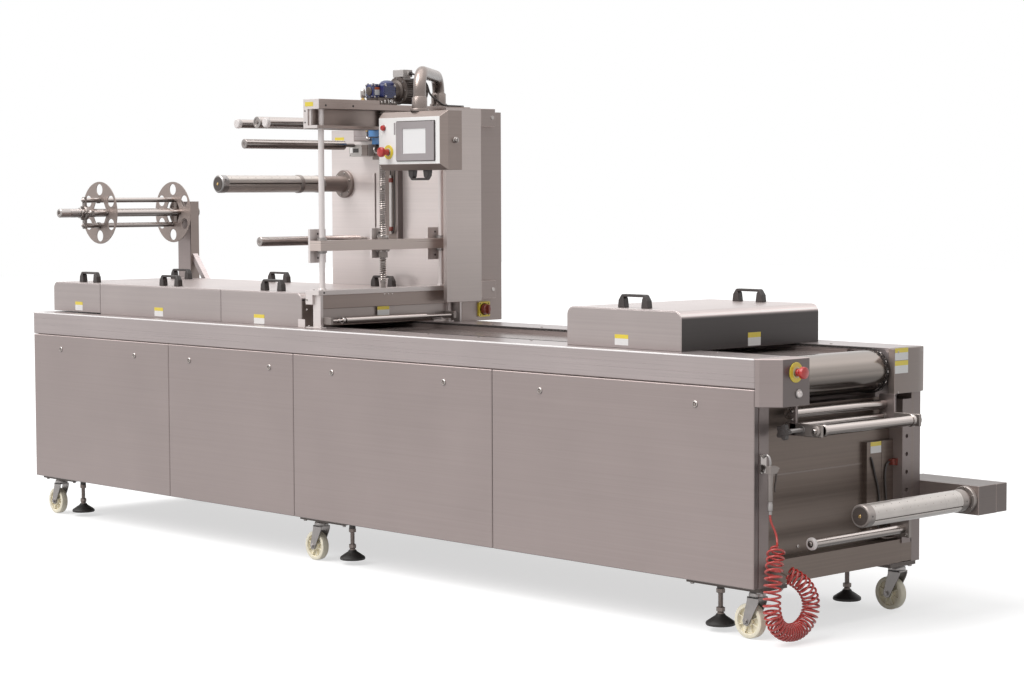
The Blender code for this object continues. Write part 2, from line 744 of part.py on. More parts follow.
def near_block():
    """Corner block with emergency stop, push button and the hanger of the guide roller."""
    outline = [
        (GAP, 0), (NEAR_BLOCK_X - NEAR_CHAMFER, 0), (NEAR_BLOCK_X, NEAR_CHAMFER - EDGE_ROUND * 2),
        (NEAR_BLOCK_X, BLOCK_Y), (GAP, BLOCK_Y)]
    add = [prism("Z", outline, (BLOCK_BOTTOM, DECK_Z))]
    face = NEAR_BLOCK_X - LAP
    plate_out = NEAR_BLOCK_X + STOP_PLATE_THICK
    add.append(rod("X", (STOP_Y, STOP_Z), (face, plate_out), STOP_PLATE_R))
    add.append(rod("X", (STOP_Y, STOP_Z), (plate_out - LAP, plate_out + STOP_STEM), STOP_STEM_R, sides=16))
    head = plate_out + STOP_STEM - LAP
    add.append(rod("X", (STOP_Y, STOP_Z), (head, head + STOP_HEAD), STOP_HEAD_R, sides=16))
    add.append(rod("X", (BUTTON_Y, BUTTON_Z), (face, NEAR_BLOCK_X + BUTTON_OUT), BUTTON_R, sides=16))
    arm_y = (BLOCK_Y - GUIDE_ARM_THICK, BLOCK_Y)
    add.append(block((GAP, HANGER_X[1]), arm_y, (HANGER_Z, BLOCK_BOTTOM + LAP)))
    add.append(block((GAP, GUIDE_X + GUIDE_ARM_HIGH / 2), arm_y, around(GUIDE_Z, GUIDE_ARM_HIGH)))
    add.append(rod("Y", (KNOB_X, GUIDE_Z), (KNOB_Y, arm_y[0] + LAP), KNOB_ROD_R, sides=12))
    lobes = []
    for step in range(KNOB_LOBES * 4):
        angle = 2 * math.pi * step / (KNOB_LOBES * 4)
        radius = KNOB_R * (1 - KNOB_WAIST_SHARE + KNOB_WAIST_SHARE * math.cos(KNOB_LOBES * angle))
        lobes.append((KNOB_X + radius * math.cos(angle), GUIDE_Z + radius * math.sin(angle)))
    add.append(prism("Y", lobes, (KNOB_Y - KNOB_THICK, KNOB_Y + LAP)))
    piece("near_corner_block", STEEL, add)


def far_block():
    """Corner block at the rear with the far hanger of the guide roller and a fixed film bar."""
    inner = BODY_WIDTH - BLOCK_Y
    outline = [
        (GAP, inner), (FAR_BLOCK_X, inner), (FAR_BLOCK_X, BODY_WIDTH - FAR_CHAMFER_Y),
        (FAR_BLOCK_X - FAR_CHAMFER_X, BODY_WIDTH), (GAP, BODY_WIDTH)]
    add = [prism("Z", outline, (BLOCK_BOTTOM, DECK_Z))]
    arm_y = (inner, inner + GUIDE_ARM_THICK)
    add.append(block((HANGER_X[0], HANGER_X[1]), arm_y, (HANGER_Z, BLOCK_BOTTOM - GAP)))
    add.append(block((GAP, HANGER_X[1]), arm_y, (BLOCK_BOTTOM - OVERRUN, BLOCK_BOTTOM + LAP)))
    add.append(block((GAP, GUIDE_X + GUIDE_ARM_HIGH / 2), arm_y, around(GUIDE_Z, GUIDE_ARM_HIGH)))
    add.append(rod("Y", (FIXED_BAR_X, FIXED_BAR_Z), (BLOCK_Y + GAP, inner + LAP), FIXED_BAR_R, sides=16))
    piece("far_corner_block", STEEL, add)


def film_track():
    """The floor of the film path with the two rails that carry the clip chains."""
    sides = (BEAM_TOP_WIDTH + GAP, BODY_WIDTH - BEAM_TOP_WIDTH - GAP)
    run = (CHAIN_LEFT_X + TRACK_LEFT, -TRACK_END)
    add = [block(run, sides, (TRACK_TOP - TRACK_THICK, TRACK_TOP))]
    rail_top = DRUM_AXIS_Z + CHAIN_R - CHAIN_THICK - GAP
    for side in (-1, 1):
        middle = MIDDLE_Y + side * CHAIN_OFFSET
        add.append(block(run, around(middle, RAIL_WIDTH), (TRACK_TOP - LAP, rail_top)))
    piece("film_track", STEEL, add)


def clip_chains():
    """Each clip chain is one closed band round the infeed and discharge wheels."""
    for name, side in (("clip_chain_front", -1), ("clip_chain_rear", 1)):
        outer = chain_outline(CHAIN_R)
        inner = chain_outline(CHAIN_R - CHAIN_THICK)
        middle = MIDDLE_Y + side * CHAIN_OFFSET
        band = prism("Y", outer, around(middle, CHAIN_WIDTH))
        hole = prism("Y", inner, around(middle, CHAIN_WIDTH + OVERRUN))
        piece(name, BLACK, [band], [hole])


def chain_outline(radius):
    """Two half circles joined by straight runs, in X and Z."""
    half = CHAIN_SIDES // 2
    right = arc((DRUM_X, DRUM_AXIS_Z), radius, -90, 90, half)
    left = arc((CHAIN_LEFT_X, DRUM_AXIS_Z), radius, 90, 270, half)
    return right + left


def infeed_drum():
    """The drum between the chains with a sprocket inside each, on its shaft."""
    half = CHAIN_OFFSET - CHAIN_WIDTH / 2 - DRUM_END_GAP
    at = (DRUM_X, DRUM_AXIS_Z)
    add = [rod("Y", at, (MIDDLE_Y - half, MIDDLE_Y + half), DRUM_R, sides=28)]
    shaft = (BEAM_TOP_WIDTH + SHAFT_END_GAP, BODY_WIDTH - BEAM_TOP_WIDTH - SHAFT_END_GAP)
    add.append(rod("Y", at, shaft, SHAFT_R))
    for side in (-1, 1):
        add.append(rod("Y", at, around(MIDDLE_Y + side * CHAIN_OFFSET, SPROCKET_THICK), SPROCKET_R, sides=20))
    piece("infeed_drum", STEEL, add, at=(DRUM_X, MIDDLE_Y, DRUM_AXIS_Z))


def cover_shape(x, y, z, corners):
    """A pan-shaped cover with rounded top corners at the asked ends."""
    outline = [(x[0], z[0])]
    if corners[0]:
        outline += arc((x[0] + COVER_CORNER, z[1] - COVER_CORNER), COVER_CORNER, 180, 90, CORNER_STEPS)
    else:
        outline.append((x[0], z[1]))
    if corners[1]:
        outline += arc((x[1] - COVER_CORNER, z[1] - COVER_CORNER), COVER_CORNER, 90, 0, CORNER_STEPS)
    else:
        outline.append((x[1], z[1]))
    outline.append((x[1], z[0]))
    return prism("Y", outline, y)


def covers():
    """Three lift-off discharge covers and the forming hood, each with two bow handles."""
    rear = BODY_WIDTH - HOOD_FRONT
    tables = [("forming_hood", HOOD_X, (HOOD_FRONT, rear), (True, True))]
    for number, (x0, x1) in enumerate(zip(COVER_X, COVER_X[1:]), 1):
        span = (x0 + COVER_SEAM / 2, x1 - COVER_SEAM / 2)
        tables.append((f"discharge_cover_{number}", span, (COVER_FRONT, COVER_REAR), (number == 1, False)))
    for name, x, y, corners in tables:
        add = [cover_shape(x, y, (DECK_Z + GAP, COVER_TOP), corners)]
        middle = sum(x) / 2
        for handle_y in (y[0] + HANDLE_INSET, y[1] - HANDLE_INSET):
            add.append(pull_handle(middle, handle_y, COVER_TOP))
        piece(name, STEEL, add)


def sealing_station():
    """The portal's base: two legs, the base beam, the skirt between them and the roller's lugs."""
    width = (PORTAL_LEFT, PORTAL_RIGHT)
    front_leg = (PORTAL_FRONT + LEG_INSET, PORTAL_FRONT + LEG_INSET + LEG_THICK)
    rear_leg = (PORTAL_REAR - LEG_INSET - LEG_THICK, PORTAL_REAR - LEG_INSET)
    add = [block(width, (PORTAL_FRONT, PORTAL_REAR), BASE_BEAM_Z)]
    for leg in (front_leg, rear_leg):
        add.append(block(width, leg, (DECK_Z + GAP, BASE_BEAM_Z[0] + LAP)))
        foot = (leg[0] - LEG_FOOT_OUT, leg[1])
        add.append(block((width[0] + LEG_FOOT, width[1] + LEG_FOOT), foot, (DECK_Z + GAP, DECK_Z + LEG_FOOT)))
    skirt = (SKIRT_X, SKIRT_X + SKIRT_THICK)
    add.append(block(skirt, (front_leg[1] - LAP, rear_leg[0] + LAP), (SKIRT_BOTTOM, BASE_BEAM_Z[0] + LAP)))
    step = (skirt[1] - LAP, skirt[1] + SKIRT_THICK)
    add.append(block(step, (front_leg[1] - LAP, rear_leg[0] + LAP), (SKIRT_STEP_Z, BASE_BEAM_Z[0] + LAP)))
    for lug_y in (front_leg[1], rear_leg[0] - STATION_LUG_THICK):
        lug = (width[1] - LAP, STATION_ROLLER_X + STATION_LUG / 2)
        y = (lug_y - LAP, lug_y + STATION_LUG_THICK)
        add.append(block((SKIRT_X, lug[1]), y, around(STATION_ROLLER_Z, STATION_LUG)))
    piece("sealing_station", STEEL, add)
    y0 = front_leg[1] + STATION_LUG_THICK + SHAFT_END_GAP
    y1 = rear_leg[0] - STATION_LUG_THICK - LAP - SHAFT_END_GAP
    at = (STATION_ROLLER_X, STATION_ROLLER_Z)
    shapes = [rod("Y", at, STATION_ROLLER_Y, STATION_ROLLER_R)]
    shapes.append(rod("Y", at, (y0, y1), STATION_ROD_R, sides=12))
    piece("station_roller", STEEL, shapes, at=(at[0], MIDDLE_Y, at[1]))


def gantry():
    """The portal's top beam, an open channel, with both columns and the lead screw."""
    x0, x1 = PORTAL_LEFT, PORTAL_RIGHT
    z0, z1 = TOP_BEAM_Z
    rear = WALL_Y - GAP * 4
    add = [block((x0, x1), (PORTAL_FRONT, TOP_BEAM_REAR), (z1 - TOP_PLATE, z1))]
    add.append(block((x0, x0 + TOP_WEB), (PORTAL_FRONT, rear), (z0, z1 - TOP_PLATE + LAP)))
    add.append(block((x0, x0 + TOP_FLANGE_OUT), (PORTAL_FRONT, rear), (z0, z0 + TOP_FLANGE)))
    foot = BASE_BEAM_Z[1] + GAP
    for side in (-1, 1):
        at = (PORTAL_X, MIDDLE_Y + side * COLUMN_OFFSET)
        add.append(rod("Z", at, (foot, z1 - TOP_PLATE + LAP), COLUMN_R))
    screw = (PORTAL_X, MIDDLE_Y)
    add.append(rod("Z", screw, (foot, z1 - TOP_PLATE + LAP), SCREW_R))
    add.append(rod("Z", screw, (foot, foot + SCREW_COLLAR), SCREW_COLLAR_R))
    piece("gantry_frame", STEEL, add)


def lift_beam():
    """The cross beam that the lead screw raises, on four bushes, with its two carrier plates."""
    add = [block((PORTAL_LEFT, PORTAL_RIGHT), (LIFT_FRONT, PORTAL_REAR), LIFT_Z)]
    cut = []
    for side in (-1, 1):
        at = (PORTAL_X, MIDDLE_Y + side * COLUMN_OFFSET)
        add.append(rod("Z", at, (LIFT_Z[0] - BUSH_OUT, LIFT_Z[1] + BUSH_OUT), BUSH_R))
        cut.append(rod("Z", at, (LIFT_Z[0] - BUSH_OUT * 2, LIFT_Z[1] + BUSH_OUT * 2), COLUMN_R + RUNNING))
    screw = (PORTAL_X, MIDDLE_Y)
    add.append(rod("Z", screw, (LIFT_Z[0] - NUT_OUT, LIFT_Z[1] + BUSH_OUT), NUT_R))
    cut.append(rod("Z", screw, (LIFT_Z[0] - NUT_OUT * 2, LIFT_Z[1] + BUSH_OUT * 2), SCREW_R + RUNNING))
    back = (PORTAL_LEFT - LIFT_PLATE_THICK, PORTAL_LEFT + LAP)
    for y in ((LIFT_FRONT, LIFT_FRONT + LIFT_PLATE_WIDE), (PORTAL_REAR - LIFT_PLATE_WIDE, PORTAL_REAR)):
        add.append(block(back, y, LIFT_PLATE_Z))
    piece("lift_beam", STEEL, add, cut, at=(PORTAL_X, MIDDLE_Y, LIFT_Z[0]))


def gear_motor():
    """Worm gearbox with a finned motor lying along the beam, and its terminal box."""
    floor = TOP_BEAM_Z[1] + GAP
    x, y = PORTAL_X, MIDDLE_Y
    base_top = floor + BASE_BLOCK[2]
    add = [block(around(x, BASE_BLOCK[0]), around(y, BASE_BLOCK[1]), (floor, base_top))]
    box_z = (base_top - LAP, base_top + GEARBOX_SIZE[2])
    add.append(block(around(x, GEARBOX_SIZE[0]), around(y, GEARBOX_SIZE[1]), box_z))
    middle_z = floor + MOTOR_FLANGE_R + LAP
    add.append(rod("Z", (x, y), (box_z[1] - LAP, box_z[1] + DOME_OUT), GEARBOX_DOME_R, GEARBOX_DOME_R / 2))
    flange = y + GEARBOX_SIZE[1] / 2
    add.append(rod("Y", (x, middle_z), (flange - LAP, flange + MOTOR_FLANGE), MOTOR_FLANGE_R))
    add.append(rod("Y", (x, middle_z), (flange, flange + MOTOR_LENGTH), MOTOR_R, sides=24))
    top = middle_z + MOTOR_R
    box_y = (flange + MOTOR_FLANGE, flange + MOTOR_FLANGE + TERMINAL_SIZE[1])
    add.append(block(around(x, TERMINAL_SIZE[0]), box_y, (top - OVERRUN, top + TERMINAL_SIZE[2])))
    piece("gear_motor", BLUE, add)


def rear_wall():
    """The plate that carries the film shaft and rollers, with bearing housing and brackets."""
    add = [block(WALL_X, (WALL_Y, WALL_Y + WALL_THICK), (DECK_Z + GAP, WALL_TOP))]
    front = WALL_Y - TOP_BRACKET_DEEP
    add.append(block(TOP_BRACKET_X, (front, WALL_Y + LAP), TOP_BRACKET_Z))
    shaft = (FILM_SHAFT_X, FILM_SHAFT_Z)
    add.append(rod("Y", shaft, (WALL_Y - FILM_FLANGE, WALL_Y + LAP), FILM_FLANGE_R, sides=28))
    add.append(rod("Y", shaft, (FILM_NECK_FRONT, WALL_Y - FILM_FLANGE + LAP), FILM_NECK_R))
    add.append(block(CYLINDER_BOX_X, (WALL_Y - CYLINDER_BOX_DEEP, WALL_Y + LAP), CYLINDER_BOX_Z))
    add.append(rod("Y", (ROLLER_F_X, ROLLER_F_Z), (ROLLER_F_Y[1] + SHAFT_END_GAP, WALL_Y + LAP), AXLE_BOSS_R))
    add.append(rod("Y", (ROLLER_B_X, UPPER_ROLLER_Z), (UPPER_ROLLER_FRONT, front + LAP), ROLLER_B_R))
    add.append(block(CABLE_CHANNEL_X, (WALL_Y - CABLE_CHANNEL_DEEP, WALL_Y + LAP), CABLE_CHANNEL_Z))
    through = (WALL_Y - OVERRUN, WALL_Y + WALL_THICK + OVERRUN)
    slot = block(around(WALL_SLOT_X, WALL_SLOT_WIDE), through, WALL_SLOT_Z)
    piece("rear_wall_plate", STEEL, add, [slot])


def rear_cabinet():
    """The cabinet behind the wall plate, its taller end column, cover sheet and switch plate."""
    back = WALL_Y + WALL_THICK + GAP
    add = [block((WALL_X[0], TOWER_X[1]), (back, CABINET_REAR), (DECK_Z + GAP, WALL_TOP))]
    add.append(block(TOWER_X, (back, CABINET_REAR), (WALL_TOP - LAP, TOWER_TOP)))
    sheet = (TOWER_X[1] - LAP, TOWER_X[1] + TOWER_COVER_THICK)
    add.append(block(sheet, TOWER_COVER_Y, TOWER_COVER_Z))
    lock = (TOWER_X[1] - LAP, TOWER_X[1] + TOWER_COVER_THICK)
    lock_y = (TOWER_COVER_Y[1] - LAP, LOCK_BOX_REAR)
    top = TOWER_COVER_Z[1] - GAP
    low = TOWER_COVER_Z[0] + OVERRUN
    add.append(block(lock, lock_y, (top - LOCK_BOX_HIGH, top)))
    add.append(block(lock, lock_y, (low, low + LOCK_BOX_HIGH)))
    plate = (TOWER_X[1] - LAP, TOWER_X[1] + SWITCH_PLATE_THICK)
    add.append(block(plate, around(SWITCH_Y, SWITCH_PLATE), around(SWITCH_Z, SWITCH_PLATE)))
    piece("rear_cabinet", STEEL, add)
    face = TOWER_X[1] + SWITCH_PLATE_THICK + SHAFT_END_GAP
    knob = [rod("X", (SWITCH_Y, SWITCH_Z), (face, face + SWITCH_KNOB), SWITCH_KNOB_R)]
    grip = (face + SWITCH_KNOB - LAP, face + SWITCH_KNOB + SWITCH_GRIP_OUT)
    knob.append(block(grip, around(SWITCH_Y, SWITCH_GRIP), around(SWITCH_Z, SWITCH_GRIP_HIGH)))
    piece("main_switch_knob", RED, knob, at=(face, SWITCH_Y, SWITCH_Z))


def film_rollers():
    """The top film shaft and the turning rollers on the rear wall."""
    at = (FILM_SHAFT_X, FILM_SHAFT_Z)
    shapes = [rod("Y", at, (FILM_SHAFT_FRONT, FILM_NECK_FRONT - SHAFT_END_GAP), FILM_SHAFT_R, sides=28)]
    piece("top_film_shaft", STEEL, shapes, at=(at[0], FILM_SHAFT_FRONT, at[1]))
    bracket = WALL_Y - TOP_BRACKET_DEEP - SHAFT_END_GAP
    for name, x in (("top_roller_a", ROLLER_A_X), ("top_roller_c", ROLLER_C_X)):
        at = (x, UPPER_ROLLER_Z)
        tip = UPPER_ROLLER_FRONT + CAP_THICK
        shapes = [rod("Y", at, (tip - LAP, bracket), ROLLER_A_R)]
        shapes.append(rod("Y", at, (UPPER_ROLLER_FRONT, tip), CAP_R))
        piece(name, STEEL, shapes, at=(x, UPPER_ROLLER_FRONT, UPPER_ROLLER_Z))
    at = (ROLLER_D_X, ROLLER_D_Z)
    shapes = [rod("Y", at, ROLLER_D_Y, ROLLER_D_R)]
    rod_end = WALL_Y - CYLINDER_BOX_DEEP - SHAFT_END_GAP
    shapes.append(rod("Y", at, (ROLLER_D_Y[1] - LAP, rod_end), ROLLER_D_ROD_R, sides=12))
    piece("top_roller_d", STEEL, shapes, at=(at[0], ROLLER_D_Y[0], at[1]))
    at = (ROLLER_F_X, ROLLER_F_Z)
    piece("top_roller_f", STEEL, [rod("Y", at, ROLLER_F_Y, ROLLER_F_R)], at=(at[0], ROLLER_F_Y[0], at[1]))


def operator_panel():
    """The pipe arm that swings on the portal, and the panel box under its head."""
    start = Vector((ARM_PIVOT[0], ARM_PIVOT[1], TOP_BEAM_Z[1] + GAP))
    end = Vector((ARM_HEAD[0], ARM_HEAD[1], PANEL_BOX_Z[1] + ARM_FLANGE))
    across = (end - start).to_2d().normalized()
    reach = (end - start).to_2d().length
    rise = [(0, start.z + ARM_FLANGE - LAP)]
    rise += arc_pairs(ARM_BEND, ARM_TOP - ARM_BEND, 180, 90)
    fall = [(reach - u, v) for u, v in reversed(arc_pairs(ARM_BEND, ARM_TOP - ARM_BEND, 180, 90))]
    fall.append((reach, end.z - LAP))
    route = [(start.x + across.x * u, start.y + across.y * u, v) for u, v in rise + fall]
    add = [tube(route, ARM_R, 3)]
    for at, base in ((ARM_PIVOT, start.z), (ARM_HEAD, PANEL_BOX_Z[1] + GAP)):
        add.append(rod("Z", at, (base, base + ARM_FLANGE), ARM_FLANGE_R))
        add.append(rod("Z", at, (base + ARM_FLANGE - LAP, base + ARM_FLANGE + ARM_COLLAR), ARM_COLLAR_R))
    piece("panel_arm", STEEL, add, at=tuple(start))

    add = [block(PANEL_BOX_X, PANEL_BOX_Y, PANEL_BOX_Z)]
    pull_x = sum(PANEL_BOX_X) / 2
    add.append(pull_handle(
        pull_x, sum(PANEL_BOX_Y) / 2, PANEL_BOX_Z[0], PANEL_PULL_WIDE, PANEL_PULL_HIGH, PANEL_PULL_DEEP, -1))
    face = PANEL_BOX_Y[0]
    at = (PANEL_STOP_X, PANEL_STOP_Z)
    plate_out = face - STOP_PLATE_THICK
    add.append(rod("Y", at, (plate_out, face + LAP), PANEL_STOP_PLATE_R))
    add.append(rod("Y", at, (plate_out - STOP_STEM, plate_out + LAP), STOP_STEM_R, sides=16))
    add.append(rod("Y", at, (plate_out - STOP_STEM - STOP_HEAD, plate_out - STOP_STEM + LAP), STOP_HEAD_R, sides=16))
    piece("operator_panel", STEEL, add, at=(ARM_HEAD[0], ARM_HEAD[1], PANEL_BOX_Z[1]))


def arc_pairs(radius, height, start, end):
    """Distance and height pairs on a bend that begins straight above the start."""
    return [(radius + u, height + v) for u, v in arc((0, 0), radius, start, end, CORNER_STEPS)]


def reel_disc(x, y):
    """One disc of the reel, with its round holes and the six-sided opening in the middle."""
    at = (x, REEL_Z)
    disc = rod("Y", at, around(y, REEL_THICK), REEL_R, sides=32)
    deep = around(y, REEL_THICK + LAP)
    cut = [rod("Y", at, deep, REEL_HEX_R, sides=6)]
    for number in range(REEL_HOLES):
        angle = math.pi / 2 + 2 * math.pi * number / REEL_HOLES
        place = (x + REEL_HOLE_PITCH * math.cos(angle), REEL_Z + REEL_HOLE_PITCH * math.sin(angle))
        cut.append(rod("Y", place, deep, REEL_HOLE_R, sides=12))
    combine(disc, cut, "DIFFERENCE")
    return disc


def plus_outline(x, z, reach, half):
    """A plus sign of the given reach and half width, in X and Z."""
    quarter = [(reach, -half), (reach, half), (half, half)]
    points = []
    for turn in range(4):
        angle = turn * math.pi / 2
        for u, v in quarter:
            along = u * math.cos(angle) - v * math.sin(angle)
            points.append((x + along, z + u * math.sin(angle) + v * math.cos(angle)))
    return points


def scrap_reel():
    """The rewinder's reel: two pierced discs on bars, its shaft, spider and spring tip."""
    x = sum(POST_X) / 2
    at = (x, REEL_Z)
    shapes = [reel_disc(x, REEL_FRONT_Y), reel_disc(x, REEL_REAR_Y)]
    spider = (REEL_SPIDER_Y, REEL_SPIDER_Y + REEL_SPIDER)
    shapes.append(rod("Y", at, (REEL_TIP_Y + REEL_TIP - LAP, POST_Y[0] - SHAFT_END_GAP), REEL_SHAFT_R))
    shapes.append(rod("Y", at, (REEL_TIP_Y, REEL_TIP_Y + REEL_TIP), REEL_TIP_R))
    for number in range(REEL_BARS):
        angle = math.pi / 2 + 2 * math.pi * number / REEL_BARS
        place = (x + REEL_BAR_PITCH * math.cos(angle), REEL_Z + REEL_BAR_PITCH * math.sin(angle))
        shapes.append(rod("Y", place, (sum(spider) / 2, REEL_REAR_Y + REEL_SPIDER / 2), REEL_BAR_R, sides=10))
    cross = plus_outline(x, REEL_Z, REEL_BAR_PITCH + REEL_BAR_R * 2, REEL_BAR_R * 1.3)
    shapes.append(prism("Y", cross, spider))
    shapes.append(prism("Y", cross, (REEL_REAR_Y + LAP * 2, REEL_REAR_Y + REEL_SPIDER + LAP)))
    wing = (REEL_SPIDER_Y - REEL_WING_THICK, REEL_SPIDER_Y + LAP * 2)
    shapes.append(block(around(x, REEL_WING_THICK), wing, around(REEL_Z, REEL_WING)))
    shapes.append(rod("Y", at, (wing[0] - REEL_WING_THICK, wing[1]), REEL_SPIDER_R / 1.5, sides=12))
    piece("scrap_reel", STEEL, shapes, at=(x, REEL_TIP_Y, REEL_Z))


def unwinder():
    """The bottom film unwinder: its arm behind the machine, the film shaft and the low roller."""
    add = [block(UNWIND_ARM_X, UNWIND_ARM_Y, UNWIND_ARM_Z)]
    piece("unwinder_arm", STEEL, add, bevel=EDGE_ROUND)
    at = (UNWIND_X, UNWIND_Z)
    flange_end = UNWIND_ARM_Y[0] - SHAFT_END_GAP
    shapes = [rod("Y", at, (UNWIND_FRONT, flange_end), UNWIND_R, sides=28)]
    shapes.append(rod("Y", at, (flange_end - UNWIND_FLANGE, flange_end), UNWIND_FLANGE_R, sides=28))
    piece("bottom_film_shaft", STEEL, shapes, at=(at[0], UNWIND_FRONT, at[1]))
    at = (LOW_ROLLER_X, LOW_ROLLER_Z)
    end = LOW_ROLLER_Y[1] + LOW_BRACKET_THICK / 2 - SHAFT_END_GAP
    shapes = [rod("Y", at, (LOW_ROLLER_Y[0], end), LOW_ROLLER_R)]
    shapes.append(rod("Y", at, (LOW_ROLLER_Y[0] - CAP_THICK / 2, LOW_ROLLER_Y[0] + LAP), LOW_CAP_R))
    piece("low_roller", STEEL, shapes, at=(at[0], LOW_ROLLER_Y[0], at[1]))


def end_rollers():
    """The roller under the drum and the hinged guide roller in front of it."""
    inner = (BLOCK_Y, BODY_WIDTH - BLOCK_Y)
    span = (inner[0] + SHAFT_END_GAP, inner[1] - SHAFT_END_GAP)
    at = (END_ROLLER_X, END_ROLLER_Z)
    piece("end_roller", STEEL, [rod("Y", at, span, END_ROLLER_R)], at=(at[0], MIDDLE_Y, at[1]))
    at = (GUIDE_X, GUIDE_Z)
    shapes = [rod("Y", at, span, GUIDE_R)]
    shapes.append(rod("Y", at, (span[0] + GUIDE_COLLAR, span[0] + GUIDE_COLLAR * 2), GUIDE_COLLAR_R))
    shapes.append(rod("Y", at, (span[1] - GUIDE_COLLAR * 2, span[1] - GUIDE_COLLAR), GUIDE_COLLAR_R))
    piece("guide_roller", STEEL, shapes, at=(at[0], MIDDLE_Y, at[1]))


def castors_and_feet():
    """Six swivel castors and six levelling feet."""
    number = 0
    for rear in (False, True):
        for castor_x, foot_x in zip(CASTOR_X, FOOT_X):
            number += 1
            y = BODY_WIDTH - CASTOR_Y if rear else CASTOR_Y
            foot_y = BODY_WIDTH - FOOT_Y if rear else FOOT_Y
            castor(number, castor_x, y)
            levelling_foot(number, foot_x, foot_y)


def castor(number, x, y):
    """A swivel fork that trails to the discharge end, and its wheel."""
    axle = Vector((x - TRAIL, y, WHEEL_R + WHEEL_LIFT))
    half = WHEEL_WIDTH / 2 + FORK_GAP
    add = [rod("Z", (x, y), (FORK_HEAD_Z[0], FORK_HEAD_Z[1]), FORK_HEAD_R)]
    add.append(rod("Z", (x, y), (FORK_HEAD_Z[1] - LAP, CASTOR_PLATE_BOTTOM - GAP), FORK_STEM_R, sides=12))
    wide = half + FORK_THICK
    crown = (FORK_HEAD_Z[0] - FORK_THICK, FORK_HEAD_Z[0] + LAP)
    add.append(block((x - FORK_NECK / 2, x + FORK_NECK / 2), (y - wide, y + wide), crown))
    side = leg_outline(axle, x, crown[1])
    for sign in (-1, 1):
        inner = y + sign * half
        outer = y + sign * wide
        add.append(prism("Y", side, (min(inner, outer), max(inner, outer))))
    add.append(rod("Y", (axle.x, axle.z), (y - wide - FORK_THICK, y + wide + FORK_THICK), AXLE_R, sides=12))
    piece(f"castor_fork_{number}", ZINC, add, at=(x, y, FORK_HEAD_Z[1]))
    profile = wheel_profile()
    wheel = turned(profile, "Y", (axle.x, axle.z), y, 20)
    piece(f"castor_wheel_{number}", NYLON, [wheel], at=tuple(axle))


def leg_outline(axle, x, top):
    """Side view of a fork leg, from the round end at the axle up to the crown."""
    points = arc((axle.x, axle.z), FORK_FOOT_R, 150, 345, CORNER_STEPS)
    points.append((x + FORK_NECK / 2, top - FORK_FOOT_R))
    points.append((x + FORK_NECK / 2, top))
    points.append((x - FORK_NECK / 2, top))
    return points


def wheel_profile():
    """A wheel with a crowned tread, thin web and hub, open through its bore."""
    half = WHEEL_WIDTH / 2
    web = WHEEL_WEB / 2
    edge = EDGE_ROUND
    return [
        (WHEEL_BORE_R, half), (WHEEL_HUB_R, half), (WHEEL_HUB_R, web), (WHEEL_RIM_R, web),
        (WHEEL_RIM_R, half), (WHEEL_R - edge, half), (WHEEL_R, half - edge),
        (WHEEL_R, -half + edge), (WHEEL_R - edge, -half), (WHEEL_RIM_R, -half),
        (WHEEL_RIM_R, -web), (WHEEL_HUB_R, -web), (WHEEL_HUB_R, -half), (WHEEL_BORE_R, -half)]


def levelling_foot(number, x, y):
    """A conical rubber foot on a threaded stem with two nuts."""
    top = CASTOR_PLATE_BOTTOM - GAP
    profile = [
        (0, top), (STEM_R, top), (STEM_R, FOOT_CONE), (FOOT_TOP_R, FOOT_CONE),
        (FOOT_R, FOOT_EDGE), (FOOT_R, 0), (0, 0)]
    add = [turned(profile, "Z", (x, y), 0, 20)]
    for base in (FOOT_CONE + NUT_HIGH / 2, top - NUT_HIGH * 2.5):
        add.append(rod("Z", (x, y), (base, base + NUT_HIGH), NUT_AF_R, sides=6))
    piece(f"levelling_foot_{number}", BLACK, add, at=(x, y, 0))


def blow_gun():
    """The air gun in its holder on the near post, with its hose fitting below."""
    add = [rod("Z", (GUN_X, GUN_Y), GUN_Z, GUN_R, sides=16)]
    add.append(rod("Z", (GUN_X, GUN_Y), (GUN_FITTING_Z, GUN_Z[0] + LAP), GUN_FITTING_R, sides=12))
    head = (GUN_Z[1] - GUN_HEAD_HIGH, GUN_Z[1] + LAP)
    add.append(block(around(GUN_X, GUN_HEAD * 0.8), (GUN_Y - GUN_R, GUN_Y + GUN_HEAD), head))
    add.append(block((GAP, GUN_X), around(GUN_Y, GUN_R), (head[1] - LAP, head[1] + GUN_HOOK_HIGH)))
    add.append(block((GAP, GUN_HOLDER_THICK), around(GUN_Y, GUN_HEAD), (GUN_HOLDER_Z[0], head[1] + GUN_HOOK_HIGH)))
    add.append(rod("Y", (GUN_X, head[1] - GUN_R), (GUN_Y, GUN_Y + NOZZLE_OUT), NOZZLE_R, sides=12))
    lever_y = GUN_Y + GUN_HEAD
    add.append(block(around(GUN_X, GUN_TRIGGER), (lever_y - GUN_TRIGGER, lever_y), (GUN_Z[0] + OVERRUN * 4, head[1])))
    piece("blow_gun", CHROME, add)


def air_hose():
    """The hose's straight end and, as one fat tube of its outer diameter, its curly stretch."""
    lead = smooth_route(HOSE_ROUTE, HOSE_R * 4)
    piece("hose_lead", RED, [tube(lead, HOSE_R, 2)])
    coil = smooth_route(COIL_ROUTE, COIL_R * 0.7)
    piece("hose_coil", RED, [tube(coil, COIL_R, 3)])


DRUM_AXIS_Z = DECK_Z - CHAIN_R

